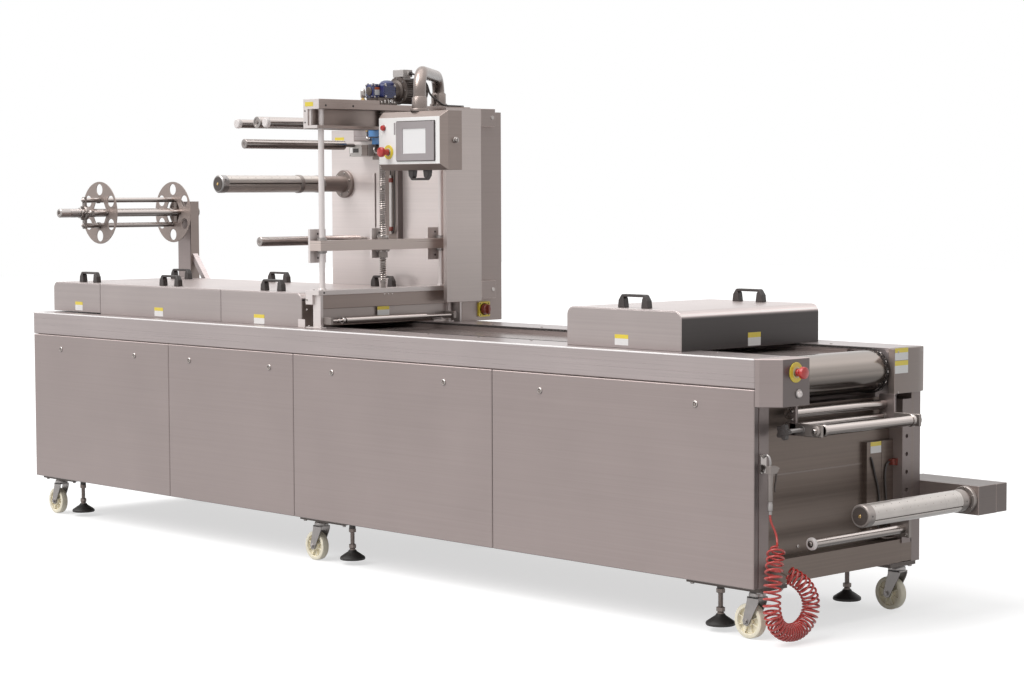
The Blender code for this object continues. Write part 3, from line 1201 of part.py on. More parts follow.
ORIGIN = start_scene()
STEEL = make_material("brushed_stainless", (0.60, 0.56, 0.54), 0.36, 0.9)
DARK_STEEL = make_material("dark_stainless", (0.36, 0.33, 0.31), 0.38, 0.9)
CHROME = make_material("chrome", (0.80, 0.80, 0.80), 0.12, 1.0)
ZINC = make_material("zinc_plate", (0.58, 0.60, 0.60), 0.42, 0.8)
NYLON = make_material("ivory_nylon", (0.86, 0.81, 0.64), 0.45, 0.0)
BLACK = make_material("black_rubber", (0.04, 0.035, 0.033), 0.6, 0.0)
BLUE = make_material("blue_enamel", (0.04, 0.06, 0.22), 0.35, 0.0)
RED = make_material("red_plastic", (0.72, 0.06, 0.04), 0.35, 0.0)

machine_body()
front_panels()
deck_beams()
end_plate()
near_block()
far_block()
film_track()
clip_chains()
infeed_drum()
covers()
sealing_station()
gantry()
lift_beam()
gear_motor()
rear_wall()
rear_cabinet()
film_rollers()
operator_panel()
scrap_reel()
unwinder()
end_rollers()
castors_and_feet()
blow_gun()
air_hose()
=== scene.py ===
"""Looks of the thermoforming packaging machine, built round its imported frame.

Places are written in the shop's axes: X 0 is the infeed end, Y 0 the operator's side, Z 0 the floor.
Every mesh is moved by SHIFT into the frame's axes when it is made.
"""
import math

import bmesh
import bpy
from mathutils import Matrix, Vector
from mathutils.geometry import tessellate_polygon


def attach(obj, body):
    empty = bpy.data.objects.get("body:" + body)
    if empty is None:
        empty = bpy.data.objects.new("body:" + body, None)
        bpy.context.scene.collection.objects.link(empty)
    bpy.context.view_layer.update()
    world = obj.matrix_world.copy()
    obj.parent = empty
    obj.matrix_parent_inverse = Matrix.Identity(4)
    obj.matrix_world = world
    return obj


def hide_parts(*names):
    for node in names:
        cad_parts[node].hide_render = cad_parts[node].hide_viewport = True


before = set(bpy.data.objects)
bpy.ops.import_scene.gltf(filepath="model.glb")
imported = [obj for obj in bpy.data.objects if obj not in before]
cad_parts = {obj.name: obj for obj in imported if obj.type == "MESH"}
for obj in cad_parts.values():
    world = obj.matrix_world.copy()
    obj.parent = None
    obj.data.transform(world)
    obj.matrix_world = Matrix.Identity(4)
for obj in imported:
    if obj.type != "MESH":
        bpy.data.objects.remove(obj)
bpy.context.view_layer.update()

SHIFT = Vector((2.224, -0.5575, 0))
ROOT = "machine_frame"
DECK = 0.98
WIDE = 0.938            # over both side beams
MID = WIDE / 2
SEAT = DECK + 0.0003    # where what stands on the deck begins
CASTOR_X, FOOT_X = (-0.045, -2.450, -4.463), (-0.249, -2.294, -4.335)
X, Y, Z = (1, 0, 0), (0, 1, 0), (0, 0, 1)
BACK_X, BACK_Y, DOWN = (-1, 0, 0), (0, -1, 0), (0, 0, -1)


def add(name, data):
    """Puts a new object in the scene."""
    made = bpy.data.objects.new(name, data)
    bpy.context.scene.collection.objects.link(made)
    return made


# ---------------------------------------------------------------- camera
def make_camera():
    """The photograph's camera: place, turn and focal length solved from the machine's edges."""
    yaw, pitch, roll = 0.813479, 0.0646780, -0.00383738
    ahead = Vector((-math.sin(yaw) * math.cos(pitch), math.cos(yaw) * math.cos(pitch), -math.sin(pitch)))
    flat = Vector((math.cos(yaw), math.sin(yaw), 0))
    high = flat.cross(ahead)
    right = math.cos(roll) * flat + math.sin(roll) * high
    up = -math.sin(roll) * flat + math.cos(roll) * high
    data = bpy.data.cameras.new("camera")
    data.lens = 2295.03 / 1024 * 36
    data.sensor_width = 36
    data.sensor_fit = "HORIZONTAL"
    data.clip_end = 100
    camera = add("camera", data)
    turn = Matrix((right, up, -ahead)).transposed().to_4x4()
    camera.matrix_world = Matrix.Translation(Vector((5.090, -5.946, 1.549)) + SHIFT) @ turn
    bpy.context.scene.camera = camera


make_camera()


# ---------------------------------------------------------------- materials
ALONG = 1.2             # how fast the brush marks change along their run
UNEVEN = 0.12           # share by which roughness goes up and down


def finish_and_painted_light(name, colour, rough, metallic=0.0, spread=0.06, fine=90.0, bump=0.04, grain=None, broad=2.5,
           coat=0.0, rise=None, end=1.0, fade=None):
    """A procedural look with painted light: fine grain, broad clouding, uneven roughness, a slight relief, and tones
    painted by facing and height.

    grain says how the fine marks run: level on sheets, ring round bars along Y, rise round upright bars.
    rise gives a painted reflection and shade by how far a face looks up, from -1 to 1, and end a painted shade on
    faces towards the infeed end;
    both stand in for polished steel mirroring a bright ceiling, a darker floor and a dark end of the hall. The tones
    by height are painted shade.
    """
    look = bpy.data.materials.new(name)
    look.use_nodes = True
    tree = look.node_tree
    link = tree.links.new
    shader = tree.nodes["Principled BSDF"]
    shader.inputs["Metallic"].default_value = metallic
    shader.inputs["Coat Weight"].default_value = coat
    shader.inputs["Coat Roughness"].default_value = 0.1
    look.diffuse_color = (*colour, 1)

    def node(kind, **values):
        made = tree.nodes.new(kind)
        for key, value in values.items():
            setattr(made, key, value)
        return made

    def maths(operation, first, second):
        made = node("ShaderNodeMath", operation=operation)
        for socket, value in zip(made.inputs, (first, second)):
            if isinstance(value, (int, float)):
                socket.default_value = value
            else:
                link(value, socket)
        return made.outputs[0]

    def span(value, low, high, first, second):
        made = node("ShaderNodeMapRange")
        link(value, made.inputs["Value"])
        for key, level in (("From Min", low), ("From Max", high), ("To Min", first), ("To Max", second)):
            made.inputs[key].default_value = level
        return made.outputs[0]

    def noise(place, scale, detail):
        made = node("ShaderNodeTexNoise")
        made.inputs["Scale"].default_value = scale
        made.inputs["Detail"].default_value = detail
        link(place, made.inputs["Vector"])
        return made.outputs["Fac"]

    def split(vector):
        made = node("ShaderNodeSeparateXYZ")
        link(vector, made.inputs[0])
        return made.outputs

    where = node("ShaderNodeTexCoord").outputs["Object"]
    facing = split(node("ShaderNodeNewGeometry").outputs["Normal"])
    if grain:
        parts = split(where)
        across = parts["Y" if grain == "ring" else "Z"]
        if grain == "level":
            lying = maths("MULTIPLY", facing["Z"], facing["Z"])
            across = maths("ADD", across, maths("MULTIPLY", parts["Y"], lying))
        joined = node("ShaderNodeCombineXYZ")
        slow = ALONG if grain == "level" else 0.0
        for socket, value, factor in (("X", parts["X"], slow), ("Y", parts["Y"], slow), ("Z", across, fine)):
            link(maths("MULTIPLY", value, factor), joined.inputs[socket])
        small = noise(joined.outputs[0], 1.0, 4)
    else:
        small = noise(where, fine, 4)
    large = noise(where, broad, 3)
    ramp = node("ShaderNodeValToRGB")
    link(maths("ADD", maths("MULTIPLY", small, 0.5), maths("MULTIPLY", large, 0.5)), ramp.inputs[0])
    for stop, place, share in zip(ramp.color_ramp.elements, (0.3, 0.7), (1 - spread, 1 + spread)):
        stop.position = place
        stop.color = (*[min(1, value * share) for value in colour], 1)
    colour_now = ramp.outputs[0]
    # Painted light: the base colour is scaled by which way a face looks and by height, for painted reflection and
    # painted shade.
    if rise or fade or end != 1.0:
        factor = 1.0
        if rise:
            tones = node("ShaderNodeValToRGB")
            link(maths("ADD", maths("MULTIPLY", facing["Z"], 0.5), 0.5), tones.inputs[0])
            tones.color_ramp.interpolation = "EASE"
            stops = tones.color_ramp.elements
            while len(stops) < len(rise):
                stops.new(1.0)
            peak = max(value for _, value in rise)
            for stop, (height, value) in zip(stops, rise):
                stop.position = height * 0.5 + 0.5
                stop.color = (value / peak, value / peak, value / peak, 1)
            factor = maths("MULTIPLY", tones.outputs[0], peak)
        for tones in fade or ():
            factor = maths("MULTIPLY", span(split(where)["Z"], *tones), factor)
        scaled = node("ShaderNodeVectorMath", operation="SCALE")
        link(colour_now, scaled.inputs[0])
        link(maths("MULTIPLY", span(facing["X"], 0.92, 0.995, 1.0, end), factor), scaled.inputs["Scale"])
        colour_now = scaled.outputs[0]
    link(colour_now, shader.inputs["Base Color"])
    link(span(small, 0.3, 0.7, rough * (1 - UNEVEN), min(1, rough * (1 + UNEVEN))), shader.inputs["Roughness"])
    relief = node("ShaderNodeBump")
    relief.inputs["Strength"].default_value = bump
    relief.inputs["Distance"].default_value = 0.001
    link(small, relief.inputs["Height"])
    link(relief.outputs[0], shader.inputs["Normal"])
    return look


# Painted reflection and shade by facing, from a face looking down (-1) to one looking up (1): flat sheets, round
# bars, small round parts, covers with a painted highlight on their round edge, and sheets with weaker painted top
# light.
FLAT = ((-1, 0.5), (-0.2, 0.85), (0.0, 1.0), (0.30, 1.25), (0.66, 2.6), (0.93, 1.9), (1, 1.85))
ROUND = ((-1, 0.42), (-0.72, 0.27), (-0.30, 0.25), (0.02, 0.62), (0.34, 1.05), (0.62, 1.62), (0.82, 1.50), (1, 1.15))
BALL = ((-1, 0.3), (-0.5, 0.35), (0.0, 0.75), (0.5, 1.25), (1, 1.3))
COVER = ((-1, 0.5), (0.0, 1.0), (0.2, 1.9), (0.5, 2.9), (0.8, 2.0), (1, 1.6))
LOW = ((-1, 0.5), (-0.2, 0.85), (0.0, 1.0), (0.5, 1.5), (0.93, 1.0), (1, 0.95))


def brushed(name, colour, rough=0.36, metallic=0.55, spread=0.07, fine=170, **tones):
    """Sheet steel with level brush marks, and painted light by facing and height where it is given."""
    return finish_and_painted_light(name, colour, rough, metallic, spread, fine, 0.05, "level", **tones)


def plain(name, colour, rough, metallic, spread, fine, bump, broad, coat=0.0, **tones):
    """A look without a grain, with painted light by facing where it is given."""
    return finish_and_painted_light(name, colour, rough, metallic, spread, fine, bump, None, broad, coat, **tones)


# Brushed steel looks: lit and shaded copies of one stainless steel, each with a base tone set for how brightly its
# place is lit, painted reflection by facing and painted shade on faces towards the infeed end.
STEEL = brushed("brushed_steel", (0.315, 0.262, 0.252), rise=FLAT, end=0.44)
BODY_STEEL = brushed("brushed_steel_body", (0.315, 0.262, 0.250), rise=LOW, end=0.62)
# A lit copy for the side beams, with a painted highlight on their round top edges.
TOP_STEEL = brushed("brushed_steel_beam", (0.385, 0.334, 0.328), rough=0.30, metallic=0.6, spread=0.10,
                    end=0.55, rise=((-1, 0.5), (-0.2, 0.85), (0.0, 1.0), (0.30, 1.25), (0.66, 2.6),
                                    (0.93, 1.25), (1, 1.2)))
# The deck, with weaker painted top light.
DECK_STEEL = brushed("brushed_steel_deck", (0.345, 0.290, 0.276), rough=0.28, metallic=0.6, spread=0.08,
                     rise=LOW, end=0.55)
# Painted highlight on the covers' round edges and deep painted shade on their faces towards the infeed end.
COVER_STEEL = brushed("brushed_steel_covers", (0.388, 0.338, 0.328), rough=0.32, spread=0.08, fine=150,
                      rise=COVER, end=0.13)
# Painted shade on the arm's top and on its end face.
ARM_STEEL = brushed("brushed_steel_arm", (0.295, 0.243, 0.226), spread=0.10, end=0.42,
                    rise=((-1, 0.5), (-0.2, 0.85), (0.0, 1.0), (0.5, 1.5), (0.93, 0.66), (1, 0.62)))
# A lit copy for the portal, and a darker, shaded copy for faces in shade.
BRIDGE_STEEL = brushed("brushed_steel_bridge", (0.375, 0.305, 0.278), metallic=0.5, fine=150, rise=LOW)
SIDE_STEEL = brushed("brushed_steel_side", (0.300, 0.245, 0.222), metallic=0.5, fine=150, rise=LOW)
# A lit copy for the tower's cover, with painted shade lower down.
TOWER_STEEL = brushed("brushed_steel_tower", (0.500, 0.436, 0.414), rough=0.34, metallic=0.5, spread=0.06,
                      fine=150, fade=((1.0, 1.45, 0.72, 1.0),))
# Painted shade on the cabinet's faces towards the infeed end.
CABINET_STEEL = finish_and_painted_light("cabinet_steel", (0.74, 0.615, 0.575), 0.36, 0.4, 0.05, 120, 0.05, "level", 1.6, end=0.42)
# A painted highlight: near-white strips along the side beams' round top edges.
PAINTED_EDGE_HIGHLIGHT = finish_and_painted_light("painted_edge_highlight", (0.93, 0.90, 0.89), 0.30, 0.1, 0.02, 200, 0.02)
# A lit copy for the lift beam, with painted shade on its end faces.
LIFT_STEEL = brushed("lift_beam_steel", (0.566, 0.478, 0.44), rough=0.30, metallic=0.6, spread=0.05, end=0.72)
# Pale steel, with painted shade on faces towards the infeed end.
WALL_STEEL = finish_and_painted_light("pale_steel", (0.70, 0.64, 0.622), 0.36, 0.4, 0.05, 120, 0.05, "level", 1.6, end=0.78)
# Painted shade low down and towards the top of the wall sheet.
SHEET_STEEL = finish_and_painted_light("wall_steel", (0.86, 0.780, 0.758), 0.32, 0.45, 0.06, 120, 0.05, "level", 1.9,
                     fade=((0.98, 1.25, 0.55, 0.86), (1.25, 1.42, 0.9, 1.0), (1.62, 1.84, 1.0, 0.88)))
SHADE_STEEL = brushed("shaded_steel", (0.235, 0.193, 0.175), rough=0.38, metallic=0.5, spread=0.10, fine=150,
                      rise=LOW, end=0.85)
DARK_STEEL = brushed("dark_steel", (0.085, 0.069, 0.062), rough=0.42, metallic=0.5, spread=0.14, fine=120)
# Painted shade: a dark copy of the steel for the recessed end plate and its corner cover, which face the infeed end.
SHADED_END_STEEL = finish_and_painted_light("end_plate_steel_shaded", (0.140, 0.109, 0.092), 0.34, 0.6, 0.22, 120, 0.04, "level", 1.3)
MATTE = finish_and_painted_light("satin_column", (0.75, 0.695, 0.680), 0.42, 0.45, 0.04, 300, 0.03, "rise")
# Round and small parts: painted reflection bands and painted shade by facing.
SATIN = plain("satin_pipe", (0.30, 0.250, 0.228), 0.28, 0.85, 0.05, 60, 0.03, 5, rise=BALL)
POLISHED = finish_and_painted_light("polished_roller", (0.52, 0.465, 0.44), 0.20, 0.95, 0.03, 500, 0.008, "ring", 3, rise=ROUND)
DRUM = finish_and_painted_light("drum_steel", (0.30, 0.262, 0.238), 0.17, 0.95, 0.05, 500, 0.02, "ring", 3, rise=ROUND)
SHAFT = finish_and_painted_light("film_shaft_steel", (0.47, 0.435, 0.41), 0.30, 0.55, 0.09, 300, 0.05, "ring", 14,
               rise=((-1, 0.55), (-0.5, 0.75), (0.0, 1.0), (0.35, 1.25), (0.7, 1.6), (1, 1.45)))
# A shaded copy of the film shaft steel for the top shaft, darker below and with a stronger painted highlight above.
DIM_SHAFT = finish_and_painted_light("film_shaft_dim", (0.47, 0.43, 0.40), 0.30, 0.55, 0.07, 300, 0.04, "ring", 14,
                   rise=((-1, 0.48), (-0.6, 0.62), (-0.02, 0.72), (0.12, 0.95), (0.40, 1.55), (0.7, 1.9), (1, 1.6)))
CHROME = finish_and_painted_light("chrome_plate", (0.50, 0.46, 0.44), 0.16, 0.9, 0.05, 200, 0.01, rise=BALL)
CAST = finish_and_painted_light("cast_aluminium", (0.34, 0.30, 0.28), 0.46, 0.6, 0.14, 420, 0.25, rise=BALL)
ZINC = plain("zinc_plating", (0.40, 0.375, 0.365), 0.34, 0.7, 0.12, 60, 0.06, 18, rise=BALL)
NYLON = plain("ivory_nylon", (0.88, 0.82, 0.66), 0.42, 0.0, 0.05, 140, 0.05, 9, 0.15)
RUBBER = plain("black_rubber", (0.024, 0.021, 0.020), 0.55, 0.0, 0.25, 260, 0.15, 20)
BLACK = plain("black_plastic", (0.040, 0.032, 0.030), 0.38, 0.0, 0.20, 500, 0.12, 12)
BLUE = plain("blue_enamel", (0.022, 0.030, 0.130), 0.30, 0.0, 0.20, 160, 0.10, 14, 0.5)
VALVE_BLUE = plain("valve_blue", (0.08, 0.25, 0.56), 0.35, 0.0, 0.07, 200, 0.05, 10, 0.3)
MOTOR = plain("motor_grey", (0.120, 0.095, 0.084), 0.45, 0.3, 0.16, 240, 0.15, 14)
PALE = plain("pale_grey_paint", (0.50, 0.47, 0.45), 0.40, 0.2, 0.06, 260, 0.08, 8, 0.2)
WHITE = plain("white_panel", (0.93, 0.915, 0.90), 0.32, 0.0, 0.015, 340, 0.02, 5, 0.2)
CAP = plain("grey_cap", (0.80, 0.745, 0.73), 0.42, 0.0, 0.04, 260, 0.06, 9, 0.1)
BEZEL = plain("bezel_grey", (0.36, 0.325, 0.33), 0.36, 0.0, 0.04, 500, 0.06, 6, 0.2)
SCREEN = plain("pale_screen", (0.86, 0.85, 0.85), 0.14, 0.0, 0.01, 200, 0.005, 4, 0.6)
RED = plain("red_plastic", (0.50, 0.022, 0.018), 0.30, 0.0, 0.10, 260, 0.04, 14, 0.4)
BRICK = plain("brown_red_plastic", (0.20, 0.035, 0.022), 0.35, 0.0, 0.10, 260, 0.04, 14, 0.3)
ORANGE = plain("orange_plastic", (0.55, 0.12, 0.03), 0.35, 0.0, 0.08, 260, 0.04, 14, 0.3)
YELLOW = plain("yellow_plastic", (0.78, 0.62, 0.05), 0.36, 0.0, 0.05, 200, 0.03, 12, 0.3)
STICKER = plain("white_sticker", (0.78, 0.78, 0.77), 0.40, 0.0, 0.03, 300, 0.02, 12)
BRASS = plain("brass", (0.58, 0.40, 0.17), 0.26, 0.9, 0.10, 160, 0.04, 20)
HOSE = plain("red_hose", (0.46, 0.030, 0.022), 0.30, 0.0, 0.08, 90, 0.03, 30, 0.5)
TUBE_WHITE = plain("white_tube", (0.78, 0.76, 0.74), 0.30, 0.0, 0.03, 90, 0.02, 12, 0.4)


# ---------------------------------------------------------------- shapes
def aim(at, way):
    """Places what is made along Z at a point, pointing a way."""
    return Matrix.Translation(at) @ Vector(way).to_track_quat("Z", "Y").to_matrix().to_4x4()


def ring_points(middle, radius, start, end, steps):
    """Points on an arc, in degrees."""
    angles = [math.radians(start + (end - start) * step / steps) for step in range(steps + 1)]
    return [around(*middle, radius, angle) for angle in angles]


def around(u, v, radius, angle):
    """The point at an angle, in radians, on a circle in a plane."""
    return u + radius * math.cos(angle), v + radius * math.sin(angle)


def on_ring(x, y, z, radius, angle):
    """The point at an angle on a circle about a line along Y."""
    u, v = around(x, z, radius, angle)
    return u, y, v


def crossed(us, vs):
    """Every first number with every second one."""
    return [(u, v) for u in us for v in vs]


def turn_flat(x, z, angle, points):
    """Points round an origin, turned by an angle and moved to a place."""
    c, s = math.cos(angle), math.sin(angle)
    return [(x + u * c - v * s, z + u * s + v * c) for u, v in points]


def angles_of(count, start=0.0):
    """Equal steps round a circle."""
    return [start + 2 * math.pi * k / count for k in range(count)]


def round_box(u, v, radius, steps=5):
    """Outline of a rectangle with round corners."""
    points = []
    for x, y, start in ((u[1] - radius, v[1] - radius, 0), (u[0] + radius, v[1] - radius, 90),
                        (u[0] + radius, v[0] + radius, 180), (u[1] - radius, v[0] + radius, 270)):
        points += ring_points((x, y), radius, start, start + 90, steps)
    return points


def smooth(route, spacing):
    """Evenly spaced points on a smooth curve through the given points."""
    dense = []
    last = len(route) - 1
    for index in range(last):
        a, b, c, d = [Vector(route[min(max(index + shift, 0), last)]) for shift in (-1, 0, 1, 2)]
        for step in range(20):
            t = step / 20
            dense.append(0.5 * (2 * b + (c - a) * t + (2 * a - 5 * b + 4 * c - d) * t * t
                                + (3 * b - a - 3 * c + d) * t ** 3))
    dense.append(Vector(route[-1]))
    length = sum((b - a).length for a, b in zip(dense, dense[1:]))
    count = max(2, round(length / spacing))
    points = [dense[0]]
    travelled = 0
    for first, second in zip(dense, dense[1:]):
        travelled += (second - first).length
        if travelled >= length * len(points) / count and len(points) < count:
            points.append(second)
    points.append(dense[-1])
    return points


class Shape:
    """Closed shells in the shop's axes, each with the look that was in use when it was added."""

    def __init__(self, look):
        self.mesh = bmesh.new()
        self.looks = []
        self.use(look)

    def use(self, look):
        if look not in self.looks:
            self.looks.append(look)
        self.slot = self.looks.index(look)
        return self

    def skin(self, rings, closed=False):
        """Joins rings of points into a shell. A ring of one point ends in a tip, a wider last ring in a cap."""
        loops = [[self.mesh.verts.new(point) for point in ring] for ring in rings]
        faces = []
        pairs = list(zip(loops, loops[1:]))
        if closed:
            pairs.append((loops[-1], loops[0]))
        for low, high in pairs:
            count = max(len(low), len(high))
            for k in range(count):
                n = (k + 1) % count
                if len(low) == 1:
                    corners = (low[0], high[k], high[n])
                elif len(high) == 1:
                    corners = (low[n], low[k], high[0])
                else:
                    corners = (low[n], low[k], high[k], high[n])
                faces.append(self.mesh.faces.new(corners))
        if not closed:
            for loop in (loops[0], loops[-1]):
                if len(loop) > 2:
                    faces.append(self.mesh.faces.new(loop))
        for face in faces:
            face.material_index = self.slot

    def box(self, x, y, z):
        self.skin([[(x[0], y[0], h), (x[1], y[0], h), (x[1], y[1], h), (x[0], y[1], h)] for h in z])

    def turn(self, at, way, profile, sides=32):
        """A profile of radius and distance pairs, turned about a line. One that starts off the line is a ring."""
        place = aim(at, way)
        angles = angles_of(sides, math.pi / sides)
        rings = [[place @ Vector((*around(0, 0, radius, a),
                                  height)) for a in (angles if radius > 0 else (0,))] for radius, height in profile]
        self.skin(rings, closed=profile[0][0] > 0)

    def solid(self, at, way, profile, sides=32):
        """A turned profile that is closed at both ends down to its line."""
        self.turn(at, way, [(0, profile[0][1]), *profile, (0, profile[-1][1])], sides)

    def disc(self, at, way, radius, high, sides=32, low=0):
        """A plain turned disc."""
        self.solid(at, way, [(radius, low), (radius, high)], sides)

    def rod(self, start, end, radius, sides=32):
        """A cylinder between two points."""
        way = Vector(end) - Vector(start)
        place = aim(start, way)
        self.skin([[place @ Vector((*around(0, 0, radius, a),
                                    height)) for a in angles_of(sides,
                                                                math.pi / sides)] for height in (0, way.length)])

    def prism(self, axis, outline, span, holes=()):
        """A flat outline in the plane across an axis, with thickness along it and holes through it."""
        def point(u, v, s):
            return {"X": (s, u, v), "Y": (u, s, v), "Z": (u, v, s)}[axis]
        if not holes:
            self.skin([[point(u, v, s) for u, v in outline] for s in span])
            return
        loops = [list(outline), *[list(hole) for hole in holes]]
        sides = [[[self.mesh.verts.new(point(u, v, s)) for u, v in loop] for loop in loops] for s in span]
        faces = []
        for low, high in zip(*sides):
            for k in range(len(low)):
                n = (k + 1) % len(low)
                faces.append(self.mesh.faces.new((low[k], low[n], high[n], high[k])))
        corners = tessellate_polygon([[Vector((u, v, 0)) for u, v in loop] for loop in loops])
        for side in sides:
            flat = [vert for loop in side for vert in loop]
            for triangle in corners:
                faces.append(self.mesh.faces.new([flat[k] for k in triangle]))
        for face in faces:
            face.material_index = self.slot

    def tube(self, route, radius, sides=12):
        """A round tube along points."""
        points = [Vector(point) for point in route]
        across = (points[1] - points[0]).orthogonal().normalized()
        rings = []
        for index, point in enumerate(points):
            way = (points[min(index + 1, len(points) - 1)] - points[max(index - 1, 0)]).normalized()
            across = (across - way * across.dot(way)).normalized()
            other = way.cross(across)
            rings.append([point + (across * math.cos(a) + other * math.sin(a)) * radius for a in angles_of(sides)])
        self.skin(rings)

    def bend(self, route, spacing, radius, sides=12):
        """A round tube on a smooth curve through points."""
        self.tube(smooth(route, spacing), radius, sides)

    def bar(self, x, z, front, back, radius, sides):
        """A cylinder along Y."""
        self.rod((x, front, z), (x, back, z), radius, sides)

    def post(self, x, y, low, top, radius, sides):
        """A standing cylinder."""
        self.rod((x, y, low), (x, y, top), radius, sides)

    def ring(self, at, way, inner, outer, high, sides, low=0):
        """A flat ring."""
        self.turn(at, way, [(inner, low), (outer, low), (outer, high), (inner, high)], sides)

    def barrel(self, at, way, radius, long, edge, sides):
        """A disc or roller with broken edges."""
        self.solid(at, way, [(radius - edge, 0), (radius, edge), (radius, long - edge), (radius - edge, long)], sides)

    def bolt(self, at, way, radius, high):
        """A hexagon bolt with a washer."""
        washer = radius * 0.25
        self.disc(at, way, radius * 1.3, washer, 20)
        self.solid(Vector(at) + Vector(way) * washer * 0.9, way,
                   [(radius, 0), (radius, high * 0.85), (radius * 0.85, high)], 6)

    def screw(self, at, way, radius, high):
        """A cap screw with its socket."""
        self.solid(at, way, [(radius, 0), (radius, high * 0.85), (radius * 0.88, high), (radius * 0.5, high),
                             (radius * 0.45, high * 0.4)], 16)

    def done(self, name, body=ROOT, replaces=(), bevel=0.0, steps=2, angle=32, slot=None):
        """Makes the piece, in the frame's axes."""
        bmesh.ops.recalc_face_normals(self.mesh, faces=self.mesh.faces)
        bmesh.ops.translate(self.mesh, vec=SHIFT, verts=self.mesh.verts)
        data = bpy.data.meshes.new(name)
        self.mesh.to_mesh(data)
        self.mesh.free()
        for look in self.looks:
            data.materials.append(look)
        data.shade_smooth()
        data.set_sharp_from_angle(angle=math.radians(angle))
        piece = add(name, data)
        if bevel:
            edge = piece.modifiers.new("edge", "BEVEL")
            edge.width = bevel
            edge.segments = steps
            edge.limit_method = "ANGLE"
            edge.angle_limit = math.radians(angle)
            edge.harden_normals = True
            edge.use_clamp_overlap = True
        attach(piece, body)
        if replaces:
            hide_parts(*([replaces] if isinstance(replaces, str) else replaces))
        return piece

    def screws(self, x, y, z, away, angles, way, radius, high):
        """Cap screws on a circle about a line along Y."""
        for a in angles:
            self.screw(on_ring(x, y, z, away, a), way, radius, high)

    def turned(self, name, **more):
        """Makes the skin of a CAD node that turns on a body of its own."""
        self.done(name + "_turned", name + "_body", name, **more)


# ---------------------------------------------------------------- air hose
HOSE_ROUTE = (
    (0.034, 0.045, 0.4457), (0.0343, 0.0455, 0.432), (0.0365, 0.050, 0.415), (0.041, 0.0575, 0.396),
    (0.0465, 0.062, 0.377), (0.0563, 0.0557, 0.3546), (0.06192, 0.04615, 0.33825),
)
# Middle line of the coiled stretch, which hangs in a loop just above the floor
COIL_ROUTE = (
    (0.062, 0.046, 0.338), (0.076, 0.022, 0.297), (0.088, 0.000, 0.250), (0.090, -0.008, 0.193),
    (0.090, -0.010, 0.132), (0.090, 0.008, 0.082), (0.090, 0.047, 0.051), (0.090, 0.091, 0.041),
    (0.090, 0.134, 0.046), (0.090, 0.176, 0.072), (0.090, 0.197, 0.113), (0.088, 0.191, 0.156),
    (0.082, 0.166, 0.194), (0.070, 0.138, 0.219), (0.054, 0.118, 0.232),
)
HOSE_TURNS = 40
HOSE_TURN_R = 0.0285
HOSE_R = 0.004
HOSE_STEPS = 16


def hose_points():
    """The straight end, then a helix round the coil's route that closes up towards the low bend."""
    lead = smooth(HOSE_ROUTE, 0.012)
    spine = smooth(COIL_ROUTE, 0.002)
    total = HOSE_TURNS * HOSE_STEPS
    points = [Vector(point) for point in lead[:-2]]
    across = Vector((1, 0, 0))
    last = len(spine) - 1
    for step in range(total + 1):
        t = step / total
        near = (t + 0.10 * math.sin(2 * math.pi * t) / math.pi) * last
        index = min(int(near), last - 1)
        middle = spine[index].lerp(spine[index + 1], near - index)
        way = (spine[min(index + 4, last)] - spine[max(index - 4, 0)]).normalized()
        across = (across - way * across.dot(way)).normalized()
        other = way.cross(across)
        wide = HOSE_TURN_R * min(1, t * HOSE_TURNS / 0.8 + 0.12, (1 - t) * HOSE_TURNS / 0.8 + 0.06)
        angle = 2 * math.pi * HOSE_TURNS * t
        points.append(middle + (across * math.cos(angle) + other * math.sin(angle)) * wide)
    points.append(spine[-1])
    return [point + SHIFT for point in points]


def air_hose():
    """The coiled air hose as one curve, with its cord line."""
    points = hose_points()
    data = bpy.data.curves.new("air_hose", "CURVE")
    data.dimensions = "3D"
    data.bevel_depth = HOSE_R
    data.bevel_resolution = 3
    data.use_fill_caps = True
    line = data.splines.new("POLY")
    line.points.add(len(points) - 1)
    for spot, point in zip(line.points, points):
        spot.co = (*point, 1)
    line.use_smooth = True
    data.materials.append(HOSE)
    hose = add("air_hose", data)
    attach(hose, ROOT)
    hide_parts("hose_lead", "hose_coil")


air_hose()


# ---------------------------------------------------------------- carried-over nodes
def coat(look, *nodes):
    """Gives CAD nodes better looks, with their painted light and shade, in their own material slots."""
    for name in nodes:
        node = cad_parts[name]
        for spot in node.material_slots:
            spot.material = look


# Painted light: these looks carry painted reflection by facing and painted shade on faces towards the infeed end; the
# end plate's look is a dark copy for its shade.
coat(BODY_STEEL, "machine_body")
coat(STEEL, "front_panel_1", "front_panel_2", "front_panel_3", "front_panel_4")
coat(TOP_STEEL, "front_beam", "rear_beam")
coat(DECK_STEEL, "film_track")
coat(CABINET_STEEL, "rear_cabinet")
coat(SHADED_END_STEEL, "end_plate")


